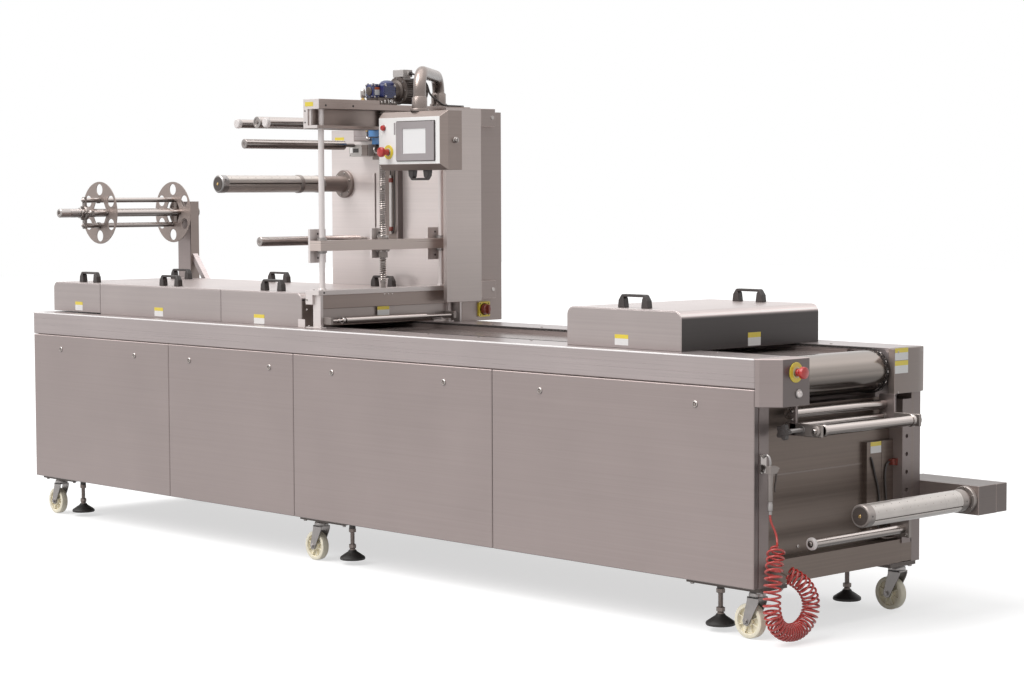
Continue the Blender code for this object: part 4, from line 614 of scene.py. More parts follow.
# ---------------------------------------------------------------- body details
def body_details():
    """Panel locks, castor plates, deck screws and painted highlight strips along the side beams' top edges."""
    locks = Shape(CHROME)
    for x in (-4.335, -3.720, -3.290, -2.707, -2.285, -1.590, -1.050, -0.271):
        for y, way in ((0, BACK_Y), (WIDE, Y)):
            at = (x, y - way[1] * 0.001, 0.809)
            locks.use(CHROME).turn(at, way, [(0.0075, 0), (0.0125, 0), (0.0125, 0.003), (0.0105, 0.0045),
                                             (0.0085, 0.0045), (0.0075, 0.0025)], 28)
            locks.use(SHADE_STEEL).disc(at, way, 0.008, 0.0022, 20)
            locks.use(CHROME).turn(at, way, [(0, 0.002), (0.0048, 0.002), (0.0042, 0.0042), (0, 0.0042)], 3)
    locks.done("panel_locks")
    under = Shape(DARK_STEEL)
    for castor_x, foot_x in zip(CASTOR_X, FOOT_X):
        low, high = sorted((castor_x, foot_x))
        for y0 in (0.0263, 0.7617):
            for u, v in crossed((low - 0.072, high + 0.032), (y0 + 0.016, y0 + 0.134)):
                under.use(ZINC).bolt((u, v, 0.1745), DOWN, 0.008, 0.007)
            under.use(DARK_STEEL).box((low - 0.086, high + 0.046), (y0 - 0.0005, y0 + 0.1505), (0.1735, 0.1865))
    under.done("mounting_plates", bevel=0.001)
    deck = Shape(CHROME)
    for x, y in crossed((-1.25, -1.55, -1.85, -2.15, -0.30), (0.150, 0.788)):
        deck.screw((x, y, DECK), Z, 0.005, 0.0025)
    deck.done("deck_screws")
    # Painted highlight: thin near-white strips along the side beams' top edges stand in for the light on their round
    # edge.
    edges = Shape(PAINTED_EDGE_HIGHLIGHT)
    for y, out in ((0, -1), (WIDE, 1)):
        lip = [(y + out * 0.0006, DECK - 0.0045), (y + out * 0.0006, DECK - 0.0012),
               (y - out * 0.0006, DECK + 0.0005), (y - out * 0.0048, DECK + 0.0005),
               (y - out * 0.0040, DECK - 0.0035)]
        edges.prism("X", lip, (-4.606, -0.002))
    edges.done("painted_beam_edge_highlights")


def sticker(shape, axis, at, u, v, yellow=0.38):
    """A bare two-tone label: yellow band over a white field."""
    def slab(low, high, look):
        shape.use(look)
        span = (at, at + 0.0006) if axis == "X" else (at - 0.0006, at)
        shape.prism(axis, round_box(u, (low, high), 0.0015, 3), span)
    split = v[1] - (v[1] - v[0]) * yellow
    if yellow < 1:
        slab(v[0], split, STICKER)
    slab(split, v[1], YELLOW)


def stickers():
    """The bare labels on covers, tower, rail and end plate."""
    labels = Shape(YELLOW)
    for y, x0, x1, z0, z1 in ((0.100, -4.359, -4.296, 0.993, 1.034), (0.100, -3.697, -3.629, 0.988, 1.028),
                              (0.100, -2.942, -2.867, 0.983, 1.024), (0.085, -0.742, -0.674, 0.991, 1.030)):
        sticker(labels, "Y", y, (x0, x1), (z0, z1))
    sticker(labels, "Y", 0.074, (-2.537, -2.483), (1.9120, 1.9300), 1)
    sticker(labels, "Y", 0.840, (-3.285, -3.219), (1.789, 1.807), 1)
    for x, y0, y1, z0, z1 in ((-0.413, 0.446, 0.517, 0.984, 1.033), (0.030, 0.742, 0.819, 0.937, 0.981),
                              (0.030, 0.742, 0.819, 0.889, 0.935), (-0.0377, 0.690, 0.752, 0.598, 0.639),
                              (-2.470, 0.405, 0.472, 1.0225, 1.0615)):
        sticker(labels, "X", x, (y0, y1), (z0, z1))
    labels.done("bare_labels", slot="brushed_stainless")


def cover_outline(x, z, corners, radius, inset=0.0):
    """A cover's outline across the machine, with a round corner where asked."""
    left, right, low, high = x[0] + inset, x[1] - inset, z[0], z[1] - inset
    size = radius - inset
    points = [(left, low)]
    points += ring_points((left + size, high - size), size, 180, 90, 8) if corners[0] else [(left, high)]
    points += ring_points((right - size, high - size), size, 90, 0, 8) if corners[1] else [(right, high)]
    return points + [(right, low)]


def bow_handle(shape, x, y, z, wide=0.153, high=0.050, deep=0.026, up=1):
    """A moulded bow handle: two tapered legs and a thin bar."""
    half = wide / 2
    outer = [(-half, 0), (-half + 0.003, high * 0.55), (-half + 0.017, high - 0.003), (-half + 0.022, high)]
    inner = [(half - 0.026, high - 0.010), (half - 0.031, high - 0.016), (half - 0.036, 0)]
    outline = outer + [(-u, v) for u, v in reversed(outer)] + inner[::-1] + [(-u, v) for u, v in inner]
    shape.use(BLACK).prism("Y", [(x + u, z + up * v) for u, v in outline], (y - deep / 2, y + deep / 2))


COVER_TOP = 1.125
COVER_ROUND = 0.032
HANDLE_SHIFTS = {
    "forming_hood": ((0, 0), (0, 0)), "discharge_cover_1": ((0.020, 0), (0, -0.062)),
    "discharge_cover_2": ((0.007, 0), (0.030, 0)), "discharge_cover_3": ((0.007, 0), (0.030, 0)),
}


def covers():
    """The hood and the three lift-off covers, with their handles."""
    tables = [("forming_hood", (-0.990, -0.413), (0.085, 0.853), (True, True), SEAT)]
    for number, (x0, x1) in enumerate(((-4.549, -4.144), (-4.144, -3.184), (-3.184, -2.606)), 1):
        low = DECK + 0.006 if number == 1 else SEAT
        tables.append((f"discharge_cover_{number}", (x0 + 0.001, x1 - 0.001), (0.100, 0.838),
                       (number == 1, number == 3), low))
    for name, x, y, corners, low in tables:
        roof = Shape(COVER_STEEL)
        seam = 0.0008
        outline = cover_outline(x, (low, COVER_TOP), corners, COVER_ROUND)
        inner = cover_outline(x, (low, COVER_TOP), corners, COVER_ROUND, 0.0035)
        roof.prism("Y", outline, (y[0] + seam, y[1] - seam))
        roof.prism("Y", inner, (y[0], y[0] + 0.003))
        roof.prism("Y", inner, (y[1] - 0.003, y[1]))
        # Painted shade: a dark box just inside the lower edge of cover 1 and the hood stands for the shade in the gap
        # under them.
        if number == 1 or name == "forming_hood":
            roof.use(DARK_STEEL).box((x[0] + 0.010, x[1] - 0.012), (y[0] + 0.006, y[1] - 0.006),
                                     (DECK + 0.0002, low + 0.01))
        # Painted shade: the lower part of cover 3's end face in the shaded side steel.
        if number == 3 and name != "forming_hood":
            roof.use(SIDE_STEEL).box((x[1] - 0.001, x[1] + 0.0008), (y[0] + 0.003, y[1] - 0.003), (low, 1.092))
        roof.done(name + "_shell", replaces=name, bevel=0.0012)
        grips = Shape(BLACK)
        for at, shift in zip((y[0] + 0.065, y[1] - 0.065), HANDLE_SHIFTS[name]):
            bow_handle(grips, sum(x) / 2 + shift[0], at + shift[1], COVER_TOP)
        grips.done(name + "_handles", bevel=0.0035, steps=3, angle=25)


body_details()
stickers()
covers()


# ---------------------------------------------------------------- portal
PX, LEFT, RIGHT = -2.506, -2.550, -2.446
COLUMN_OUT = 0.336      # from the middle to a column
BASE_TOP = 1.1403


def station():
    """The sealing station's base, its bolts and its roller."""
    base = Shape(STEEL)
    base.use(WALL_STEEL).box((-2.531, -2.458), (0.074, 0.834), (1.120, 1.140))
    for leg, foot in (((0.085, 0.100), (0.071, 0.100)), ((0.808, 0.823), (0.794, 0.823))):
        base.use(WALL_STEEL).box((-2.510, -2.460), leg, (SEAT, 1.1205))
        base.box((LEFT + 0.006, RIGHT + 0.006), foot, (SEAT, DECK + 0.006))
    base.box((-2.546, -2.500), (0.0735, 0.0855), (1.080, 1.1395))
    base.box((-2.603, -2.556), (0.0765, 0.0795), (SEAT, 1.016))
    # Painted light: the lower skirt in the lit tower steel, with its painted shade lower down, and the upper skirt in
    # the darker side steel.
    base.use(TOWER_STEEL).box((-2.490, -2.480), (0.098, 0.810), (1.000, 1.121))
    base.use(SIDE_STEEL).box((-2.481, -2.470), (0.098, 0.810), (1.062, 1.121))
    for y in (0.107, 0.801):
        base.use(CAST).box((-2.490, -2.410), (y - 0.007, y + 0.007), (0.997, 1.027))
    base.done("sealing_station_frame", replaces="sealing_station", bevel=0.0015)
    small = Shape(CHROME)
    for z in (1.100, 1.058):
        small.screw((-2.535, 0.0735, z), BACK_Y, 0.004, 0.004)
    for x in (-2.533, -2.454):
        small.bolt((x, 0.082, DECK + 0.006), Z, 0.0045, 0.004)
    for y in (MID - 0.022, MID, MID + 0.022):
        small.bolt((-2.474, y, 1.118), DOWN, 0.005, 0.006)
    small.use(BLACK).disc((-2.458, 0.104, 1.130), X, 0.0045, 0.0004, 16, -0.001)
    small.use(CHROME)
    for x, y in ((-2.522, 0.100), (-2.467, 0.100), (-2.522, 0.810), (-2.467, 0.810)):
        small.screw((x, y, 1.140), Z, 0.0045, 0.003)
    small.done("sealing_station_bolts")
    roller = Shape(POLISHED)
    at = lambda y: (-2.425, y, 1.012)
    roller.solid(at(0.190), Y, [(0.0115, 0), (0.014, 0.0015), (0.014, 0.4485), (0.0115, 0.45)], 36)
    roller.rod(at(0.1146), at(0.7914), 0.007, sides=20)
    roller.use(CHROME).solid(at(0.172), Y, [(0.0125, 0), (0.0135, 0.001), (0.0135, 0.010)], 24)
    roller.disc(at(0.150), Y, 0.010, 0.007, 24)
    roller.turned("station_roller")


def gantry():
    """The portal's top beam, columns and lead screw."""
    beam = Shape(BRIDGE_STEEL)
    beam.box((LEFT, RIGHT), (0.0755, 0.930), (1.901, 1.925))
    beam.box((LEFT, RIGHT), (0.0755, MID - 0.062), (1.9245, 1.942))
    beam.box((LEFT, LEFT + 0.028), (0.0755, 0.8388), (1.820, 1.902))
    beam.box((LEFT, -2.458), (0.0755, 0.8388), (1.820, 1.832))
    beam.use(WALL_STEEL).box((LEFT + 0.027, LEFT + 0.043), (0.080, 0.090), (1.830, 1.902))
    front = [(RIGHT, 1.942), (LEFT, 1.942), (LEFT, 1.820), (-2.458, 1.820), (-2.458, 1.833),
             (LEFT + 0.029, 1.833), (LEFT + 0.029, 1.900), (RIGHT, 1.900)]
    beam.prism("Y", front, (0.074, 0.0765))
    beam.done("top_beam", replaces="gantry_frame", bevel=0.0012)
    columns = Shape(MATTE)
    for side in (-1, 1):
        y = MID + side * COLUMN_OUT
        columns.post(PX, y, BASE_TOP, 1.906, 0.0125, 36)
        for z, way in ((BASE_TOP, Z), (1.905, DOWN)):
            columns.solid((PX, y, z), way, [(0.018, 0), (0.018, 0.003), (0.0155, 0.006)], 32)
    columns.done("portal_columns", angle=35)
    screw = Shape(CAST)
    screw.post(PX, MID, BASE_TOP, 1.906, 0.0112, 24)
    pitch = 0.009
    turns = (1.903 - 1.160) / pitch
    steps = int(turns * 14)
    thread = []
    for k in range(steps + 1):
        a = 2 * math.pi * k / 14
        thread.append((*around(PX, MID, 0.0122, a), 1.160 + pitch * k / 14))
    screw.use(POLISHED).tube(thread, 0.0026, 6)
    screw.done("lead_screw", angle=50)
    small = Shape(RUBBER)
    for y in (0.112, 0.26, 0.66, 0.80):
        small.screw((RIGHT, y, 1.915), X, 0.0045, 0.0015)
    small.screw((LEFT + 0.012, 0.074, 1.893), BACK_Y, 0.0035, 0.001)
    small.screw((LEFT + 0.012, 0.074, 1.845), BACK_Y, 0.0035, 0.001)
    small.use(ZINC)
    for x, y in crossed((LEFT + 0.020, RIGHT - 0.020), (0.740, 0.800, 0.900)):
        small.screw((x, y, 1.925), Z, 0.005, 0.0035)
    small.done("top_beam_screws")


def lift_beam():
    """The moving beam with its bushes, nut and bolts."""
    beam = Shape(STEEL)
    beam.use(LIFT_STEEL).box((-2.531, -2.458), (0.088, 0.834), (1.306, 1.349))
    for y0, y1, low in ((0.088, 0.173, 1.255), (MID - 0.0425, MID + 0.0425, 1.268), (0.749, 0.834, 1.255)):
        beam.use(WALL_STEEL).box((-2.543, -2.530), (y0, y1), (low, 1.397))
        for z in (1.275, 1.377):
            beam.use(BLACK).disc((-2.5302, (y0 + y1) / 2, z), X, 0.005, 0.0006, 20, -0.001)
    beam.done("lift_beam_block", "lift_beam_body", "lift_beam", bevel=0.0015)
    parts = Shape(CHROME)
    for side in (-1, 1):
        y = MID + side * COLUMN_OUT
        for z, way in ((1.3487, Z), (1.3063, DOWN)):
            ring = [(0.0136, 0), (0.021, 0), (0.021, 0.006), (0.0175, 0.0075), (0.0175, 0.012), (0.0136, 0.013)]
            parts.use(ZINC).turn((PX, y, z), way, ring, 32)
            for a in angles_of(4, math.pi / 4):
                sign = way[2]
                parts.use(CHROME).screw((*around(PX, y, 0.0185, a), z + sign * 0.006), way, 0.0028, 0.003)
    nut = [(0.0158, 0), (0.030, 0), (0.030, 0.006), (0.0205, 0.0075), (0.0205, 0.036), (0.0158, 0.036)]
    parts.use(CAST).turn((PX, MID, 1.3063), DOWN, nut, 36)
    parts.turn((PX, MID, 1.3487), Z, [(0.0158, 0), (0.026, 0), (0.026, 0.008), (0.0158, 0.010)], 36)
    for a in angles_of(6):
        parts.use(CHROME).bolt((*around(PX, MID, 0.0245, a), 1.3003), DOWN, 0.0036, 0.004)
        parts.bolt((*around(PX, MID, 0.021, a), 1.3567), Z, 0.0036, 0.0075)
    parts.done("lift_beam_fittings", "lift_beam_body")


def gear_motor():
    """Gearbox, motor, terminal box, cable and relief valve on the portal."""
    x, y, floor = PX, MID, 1.9253
    z0, z1 = floor + 0.029, floor + 0.090
    base = Shape(MOTOR)
    base.box((x - 0.046, x + 0.046), (y - 0.040, y + 0.046), (floor, floor + 0.008))
    base.solid((x, y, floor + 0.006), Z, [(0.038, 0), (0.035, 0.025)], 36)
    base.box((x - 0.043, x + 0.012), (y - 0.050, y + 0.010), (floor + 0.004, z0 + 0.003))
    base.use(CHROME)
    for u, v in crossed((-0.038, -0.013, 0.013, 0.038), (-0.033, 0.039)):
        base.bolt((x + u, y + v, floor + 0.008), Z, 0.0045, 0.006)
    for v in (-0.016, 0.004, 0.024):
        base.bolt((x + 0.040, y + v, floor + 0.008), Z, 0.0042, 0.013)
    base.done("gearbox_base", bevel=0.001)
    box = Shape(BLUE)
    box.prism("X", round_box((y - 0.0525, y - 0.010), (z0, z1), 0.006), (x - 0.044, x + 0.006))
    box.prism("X", round_box((y - 0.0175, y + 0.0525), (z0 + 0.002, z1 - 0.001), 0.010), (x - 0.041, x + 0.033))
    for k in range(5):
        z = z0 + 0.012 + k * 0.0092
        box.prism("X", round_box((y - 0.013, y + 0.048), (z - 0.0026, z + 0.0026), 0.0025, 3),
                  (x + 0.030, x + 0.0365))
    dome = [(0, 0), (0.034, 0), (0.033, 0.010), (0.026, 0.018), (0.014, 0.023), (0, 0.024)]
    box.turn((x, y + 0.030, z1 - 0.006), Z, dome, 40)
    box.done("gearbox_case", replaces="gear_motor", bevel=0.0022, steps=3, slot="blue_enamel")
    trim = Shape(CHROME)
    for v in (-0.046, -0.024):
        for z in (z0 + 0.006, z1 - 0.006):
            trim.screw((x + 0.006, y + v, z), X, 0.0040, 0.004)
            trim.screw((x - 0.044, y + v, z), BACK_X, 0.0040, 0.004)
    for v, z in crossed((-0.008, 0.043), (z0 + 0.008, z1 - 0.007)):
        trim.bolt((x + 0.033, y + v, z), X, 0.0046, 0.005)
    for u, z in crossed((-0.039, -0.001), (z0 + 0.006, z1 - 0.006)):
        trim.screw((x + u, y - 0.0525, z), BACK_Y, 0.0040, 0.004)
    for u, v in ((-0.037, -0.046), (-0.001, -0.046), (0.026, 0.000), (0.026, 0.044)):
        trim.screw((x + u, y + v, z1 if v < -0.01 else z1 - 0.001), Z, 0.0042, 0.004)
    cap = [(0, 0), (0.0185, 0), (0.0185, 0.004), (0.0165, 0.0055), (0, 0.0055)]
    trim.use(MOTOR).turn((x - 0.020, y - 0.0525, (z0 + z1) / 2), BACK_Y, cap, 36)
    trim.use(ORANGE).box((x + 0.006, x + 0.0068), (y - 0.044, y - 0.0180), (z1 - 0.024, z1 - 0.013))
    trim.use(STICKER).box((x + 0.006, x + 0.0068), (y - 0.044, y - 0.0180), (z0 + 0.014, z1 - 0.024))
    trim.done("gearbox_trim", slot="chrome")
    motor = Shape(MOTOR)
    mz = floor + 0.064
    teeth = []
    for a in angles_of(36):
        for shift, r in ((-0.042, 0.0475), (-0.030, 0.0562), (0.030, 0.0562), (0.042, 0.0475)):
            teeth.append(around(x, mz, r, a + shift))
    start = y + 0.088
    motor.solid((x, y + 0.050, mz), Y, [(0.036, 0), (0.036, 0.024), (0.046, 0.030), (0.046, 0.040)], 40)
    motor.solid((x, start - 0.001, mz), Y, [(0.0600, 0), (0.0600, 0.009), (0.052, 0.012)], 40)
    motor.prism("Y", teeth, (start + 0.010, start + 0.098))
    shell = [(0, 0), (0.0575, 0), (0.0575, 0.030), (0.052, 0.0365), (0.040, 0.0385), (0, 0.0385)]
    motor.turn((x, start + 0.097, mz), Y, shell, 40)
    motor.use(ZINC).screws(x, start, mz, 0.053, angles_of(8), BACK_Y, 0.0035, 0.003)
    motor.done("drive_motor", angle=28, slot="blue_enamel")
    grid = Shape(BLACK)
    for a in angles_of(12):
        grid.disc(on_ring(x, start + 0.1355, mz, 0.028, a), Y, 0.0045, 0.0002, 12, -0.001)
    grid.done("motor_grille", slot="black_rubber")
    top = Shape(PALE)
    low = mz + 0.053
    top.box((x - 0.030, x + 0.030), (y + 0.100, y + 0.140), (low - 0.006, low + 0.008))
    top.box((x - 0.035, x + 0.035), (y + 0.092, y + 0.146), (low + 0.006, low + 0.038))
    top.done("terminal_box", bevel=0.003, steps=3)
    cable = Shape(BLACK)
    gy, gz = y + 0.122, low + 0.020
    cable.use(PALE).rod((x + 0.033, gy, gz), (x + 0.046, gy, gz), 0.0105, sides=8)
    cable.use(BLACK).rod((x + 0.045, gy, gz), (x + 0.055, gy, gz), 0.0088, sides=20)
    way = smooth(((x + 0.052, gy, gz), (x + 0.072, gy + 0.006, gz - 0.006), (x + 0.078, y + 0.185, gz - 0.040),
                  (x + 0.060, y + 0.225, gz - 0.085), (x + 0.050, 0.745, 1.950), (x + 0.044, 0.790, 1.932),
                  (x + 0.036, 0.860, 1.9295), (x + 0.030, 0.915, 1.9295)), 0.006)
    cable.tube(way, 0.0042, 10)
    cable.done("motor_cable")
    valve = Shape(CHROME)
    floor += 0.0168
    at = (x - 0.030, y - 0.080, floor)
    valve.use(BRASS).disc(at, Z, 0.011, 0.008, 6)
    valve.rod((at[0], at[1], floor + 0.007), (at[0], at[1], floor + 0.016), 0.007, sides=20)
    top = [(0, 0), (0.0085, 0), (0.011, 0.004), (0.011, 0.028), (0.008, 0.036), (0.004, 0.040), (0, 0.041)]
    valve.use(CHROME).turn((at[0], at[1], floor + 0.014), Z, top, 24)
    valve.done("relief_valve")


station()
gantry()
lift_beam()
gear_motor()


# ---------------------------------------------------------------- rear wall
WALL = 0.840


def film_shaft(shape, look, x, z, front, back, radius, slots):
    """An expanding film shaft: long slots, rows of small screws and a collar at both ends."""
    at = lambda y: (x, y, z)
    rings = CAST if look is SHAFT else ZINC
    body = []
    for a in angles_of(96):
        groove = min(abs((a - s + math.pi) % (2 * math.pi) - math.pi) for s in slots) < 0.055
        body.append(around(x, z, radius - 0.001 - (0.004 if groove else 0), a))
    shape.use(look).prism("Y", body, (front + 0.004, back - 0.004))
    shape.use(DARK_STEEL)
    for a in slots:
        shape.bar(*around(x, z, radius - 0.0042, a), front + 0.034, back - 0.034, 0.0022, 8)
    edge = [(0, 0), (radius * 0.90, 0), (radius, 0.004), (radius, 0.034), (radius * 0.99, 0.036), (0, 0.036)]
    shape.use(rings).turn(at(front), Y, edge, 48)
    shape.turn(at(back), BACK_Y, edge, 48)
    shape.use(DARK_STEEL).disc(at(front - 0.0015), Y, radius * 0.78, 0.003, 36)
    shape.use(BRASS).solid(at(front - 0.004), Y, [(0.005, 0), (0.006, 0.001), (0.006, 0.006)], 16)
    shape.use(BLACK)
    for y in (front + 0.018, back - 0.018):
        for a in slots:
            b = a + 0.45
            spot = on_ring(x, y, z, radius, b)
            shape.disc(spot, (math.cos(b), 0, math.sin(b)), 0.0032, 0.0004, 12, -0.001)
    shape.use(SIDE_STEEL)
    pitch = 0.045
    for n in range(int((back - front - 0.10) / pitch) + 1):
        y = front + 0.055 + n * pitch
        for a in slots:
            for b in (a - 0.75, a + 0.75):
                spot = on_ring(x, y, z, radius - 0.001, b)
                shape.disc(spot, (math.cos(b), 0, math.sin(b)), 0.0019, 0.0003, 8, -0.0008)


def roller(x, z, front, back, radius, cap=None):
    """A turned roller with end washers, or with a plastic cap at its front end."""
    shape = Shape(POLISHED)
    at = lambda y: (x, y, z)
    start = front
    if cap:
        start = front + cap[1] - 0.001
        shape.use(CAP).turn(at(front), Y, [(0, 0), (cap[0] * 0.80, 0), (cap[0] * 0.97, 0.0025), (cap[0], 0.005),
                                           (cap[0], cap[1]), (0, cap[1])], 36)
        shape.use(POLISHED)
    shape.barrel(at(start), Y, radius, back - start, 0.0012, 40)
    if not cap:
        shape.use(CHROME).ring(at(start - 0.0006), Y, radius * 0.45, radius * 0.80, 0.002, 32)
        shape.use(CAST).screw(at(start), BACK_Y, radius * 0.34, 0.0008)
    return shape


def rear_wall():
    """The tower's wall plate with its rollers and the top film shaft."""
    wall = Shape(SHEET_STEEL)
    slot = round_box((-3.001, -2.989), (1.388, 1.640), 0.0058, 6)
    outline = [(-3.310, 0.9803), (-2.4223, 0.9803), (-2.4223, 1.840), (-3.310, 1.840)]
    wall.prism("Y", outline, (WALL, WALL + 0.012), [slot])
    wall.done("wall_sheet", replaces="rear_wall_plate")
    # Painted shade: a black sheet near the far side of the slot stands for the dark behind it.
    dark = Shape(BLACK)
    dark.box((-3.004, -2.986), (WALL + 0.0110, WALL + 0.0121), (1.384, 1.644))
    dark.done("wall_slot_back", slot="black_rubber")
    parts = Shape(STEEL)
    parts.box((-3.100, -2.815), (0.800, WALL), (1.785, 1.886))
    # Painted light: the upper bracket's front face in the lit beam steel, and the recessed web of the lower bracket
    # in the shaded steel.
    parts.use(TOP_STEEL).box((-3.093, -2.822), (0.7985, 0.801), (1.791, 1.880))
    parts.use(SHADE_STEEL).box((-2.897, -2.806), (0.812, WALL), (1.310, 1.700))
    parts.use(STEEL).box((-2.900, -2.890), (0.810, WALL), (1.308, 1.702))
    parts.box((-2.813, -2.803), (0.810, WALL), (1.308, 1.702))
    parts.done("wall_brackets", bevel=0.001)
    neck = Shape(SHADE_STEEL)
    fx, fz = -3.211, 1.591
    neck.solid((fx, 0.697, fz), Y, [(0.033, 0), (0.036, 0.003), (0.036, 0.118), (0.040, 0.126), (0.062, 0.127),
                                    (0.064, 0.129), (0.064, 0.143)], 56)
    neck.use(CHROME).screws(fx, 0.8245, fz, 0.051, angles_of(6, 0.3), BACK_Y, 0.0055, 0.004)
    neck.done("film_shaft_neck", slot="dark_stainless")
    # The top shaft in the shaded copy of the film shaft steel.
    shaft = Shape(DIM_SHAFT)
    film_shaft(shaft, DIM_SHAFT, fx, fz, 0.112, 0.6964, 0.0395, angles_of(3, math.radians(3)))
    shaft.use(CAST).turn((fx, 0.553, fz), Y, [(0.030, 0), (0.0405, 0), (0.0415, 0.0015), (0.0415, 0.0185),
                                              (0.0405, 0.02), (0.030, 0.02)], 48)
    shaft.turned("top_film_shaft", angle=28)

    bar = roller(-2.905, 1.855, 0.101, 0.801, 0.0252)
    bar.use(CHROME).turn((-2.905, 0.0985, 1.855), Y, [(0.0175, 0), (0.0246, 0), (0.0256, 0.002),
                                                      (0.0256, 0.006), (0.0175, 0.006)], 36)
    bar.use(CAST).disc((-2.905, 0.0975, 1.855), Y, 0.0075, 0.004, 6)
    bar.done("fixed_film_bar")
    for name, x in (("top_roller_a", -3.055), ("top_roller_c", -2.852)):
        made = roller(x, 1.853, 0.100, 0.7993, 0.0193, (0.0209, 0.018))
        made.turned(name, slot="brushed_stainless")
    made = roller(-3.050, 1.766, 0.138, 0.700, 0.0212)
    made.use(CAST).bar(-3.050, 1.766, 0.699, 0.7593, 0.008, 24)
    made.use(CHROME).disc((-3.050, 0.7005, 1.766), Y, 0.012, 0.008, 24)
    made.turned("top_roller_d")
    made = roller(-3.070, 1.335, 0.231, 0.800, 0.021)
    made.turned("top_roller_f")
    boss = Shape(CAST)
    boss.bar(-3.070, 1.335, 0.8006, 0.841, 0.013, 28)
    boss.done("roller_boss")


def wall_air_parts():
    """The small cylinder, blue valve, sensing tube and their fittings on the wall plate."""
    cyl = Shape(PALE)
    cyl.box((-3.086, -2.950), (0.762, WALL), (1.715, 1.769))
    cyl.use(BLACK).box((-3.058, -3.020), (0.7605, 0.763), (1.733, 1.751))
    cyl.use(WHITE).box((-3.078, -3.060), (0.7605, 0.763), (1.731, 1.755))
    cyl.use(SHADE_STEEL).box((-2.992, -2.952), (0.758, 0.7625), (1.718, 1.766))
    cyl.use(CHROME)
    for x, z in crossed((-3.078, -2.996, -2.958), (1.722, 1.762)):
        cyl.screw((x, 0.762, z), BACK_Y, 0.003, 0.0015)
    cyl.done("air_cylinder", bevel=0.002)
    valve = Shape(VALVE_BLUE)
    valve.box((-2.958, -2.886), (0.790, 0.800), (1.768, 1.800))
    valve.box((-2.958, -2.886), (0.770, 0.7995), (1.803, 1.845))
    valve.use(BLACK).box((-2.955, -2.889), (0.772, 0.799), (1.799, 1.804))
    valve.box((-2.935, -2.915), (0.776, 0.796), (1.758, 1.769))
    valve.use(SHADE_STEEL).box((-2.962, -2.882), (0.796, WALL), (1.700, 1.768))
    valve.done("blue_valve", bevel=0.0015)
    fit = Shape(BRASS)
    fit.post(-2.985, 0.785, 1.828, 1.845, 0.0085, 6)
    fit.use(CHROME)
    fit.bend(((-2.985, 0.785, 1.828), (-2.985, 0.783, 1.806), (-2.978, 0.782, 1.795), (-2.958, 0.782, 1.792)),
             0.004, 0.0062, 12)
    fit.disc((-2.985, 0.785, 1.812), Z, 0.009, 0.006, 20)
    fit.bend(((-2.930, 0.800, 1.764), (-2.934, 0.785, 1.750), (-2.930, 0.783, 1.735), (-2.918, 0.790, 1.728)),
             0.004, 0.0055, 12)
    fit.done("air_fittings")
    tube = Shape(TUBE_WHITE)
    tx = -2.846
    tube.post(tx, 0.806, 1.390, 1.596, 0.0075, 24)
    tube.use(BRICK)
    for z in (1.376, 1.596):
        tube.solid((tx, 0.806, z), Z, [(0.0095, 0), (0.0105, 0.002), (0.0105, 0.016), (0.0085, 0.020)], 20)
    tube.use(CHROME).disc((tx, 0.806, 1.616), Z, 0.007, 0.012, 20)
    tube.disc((tx, 0.806, 1.364), Z, 0.008, 0.012, 20)
    tube.use(BLACK)
    tube.bend(((tx, 0.806, 1.376), (tx + 0.018, 0.801, 1.372), (tx + 0.034, 0.798, 1.410),
               (tx + 0.037, 0.797, 1.500), (tx + 0.034, 0.798, 1.590), (tx + 0.037, 0.800, 1.690),
               (tx + 0.032, 0.806, 1.750), (tx + 0.006, 0.812, 1.786)), 0.008, 0.0033, 10)
    tube.bend(((tx, 0.806, 1.626), (tx + 0.002, 0.803, 1.650), (tx + 0.012, 0.801, 1.690),
               (tx + 0.016, 0.806, 1.750), (tx - 0.006, 0.812, 1.786)), 0.008, 0.0033, 10)
    tube.done("sensing_tube", slot="brushed_stainless")


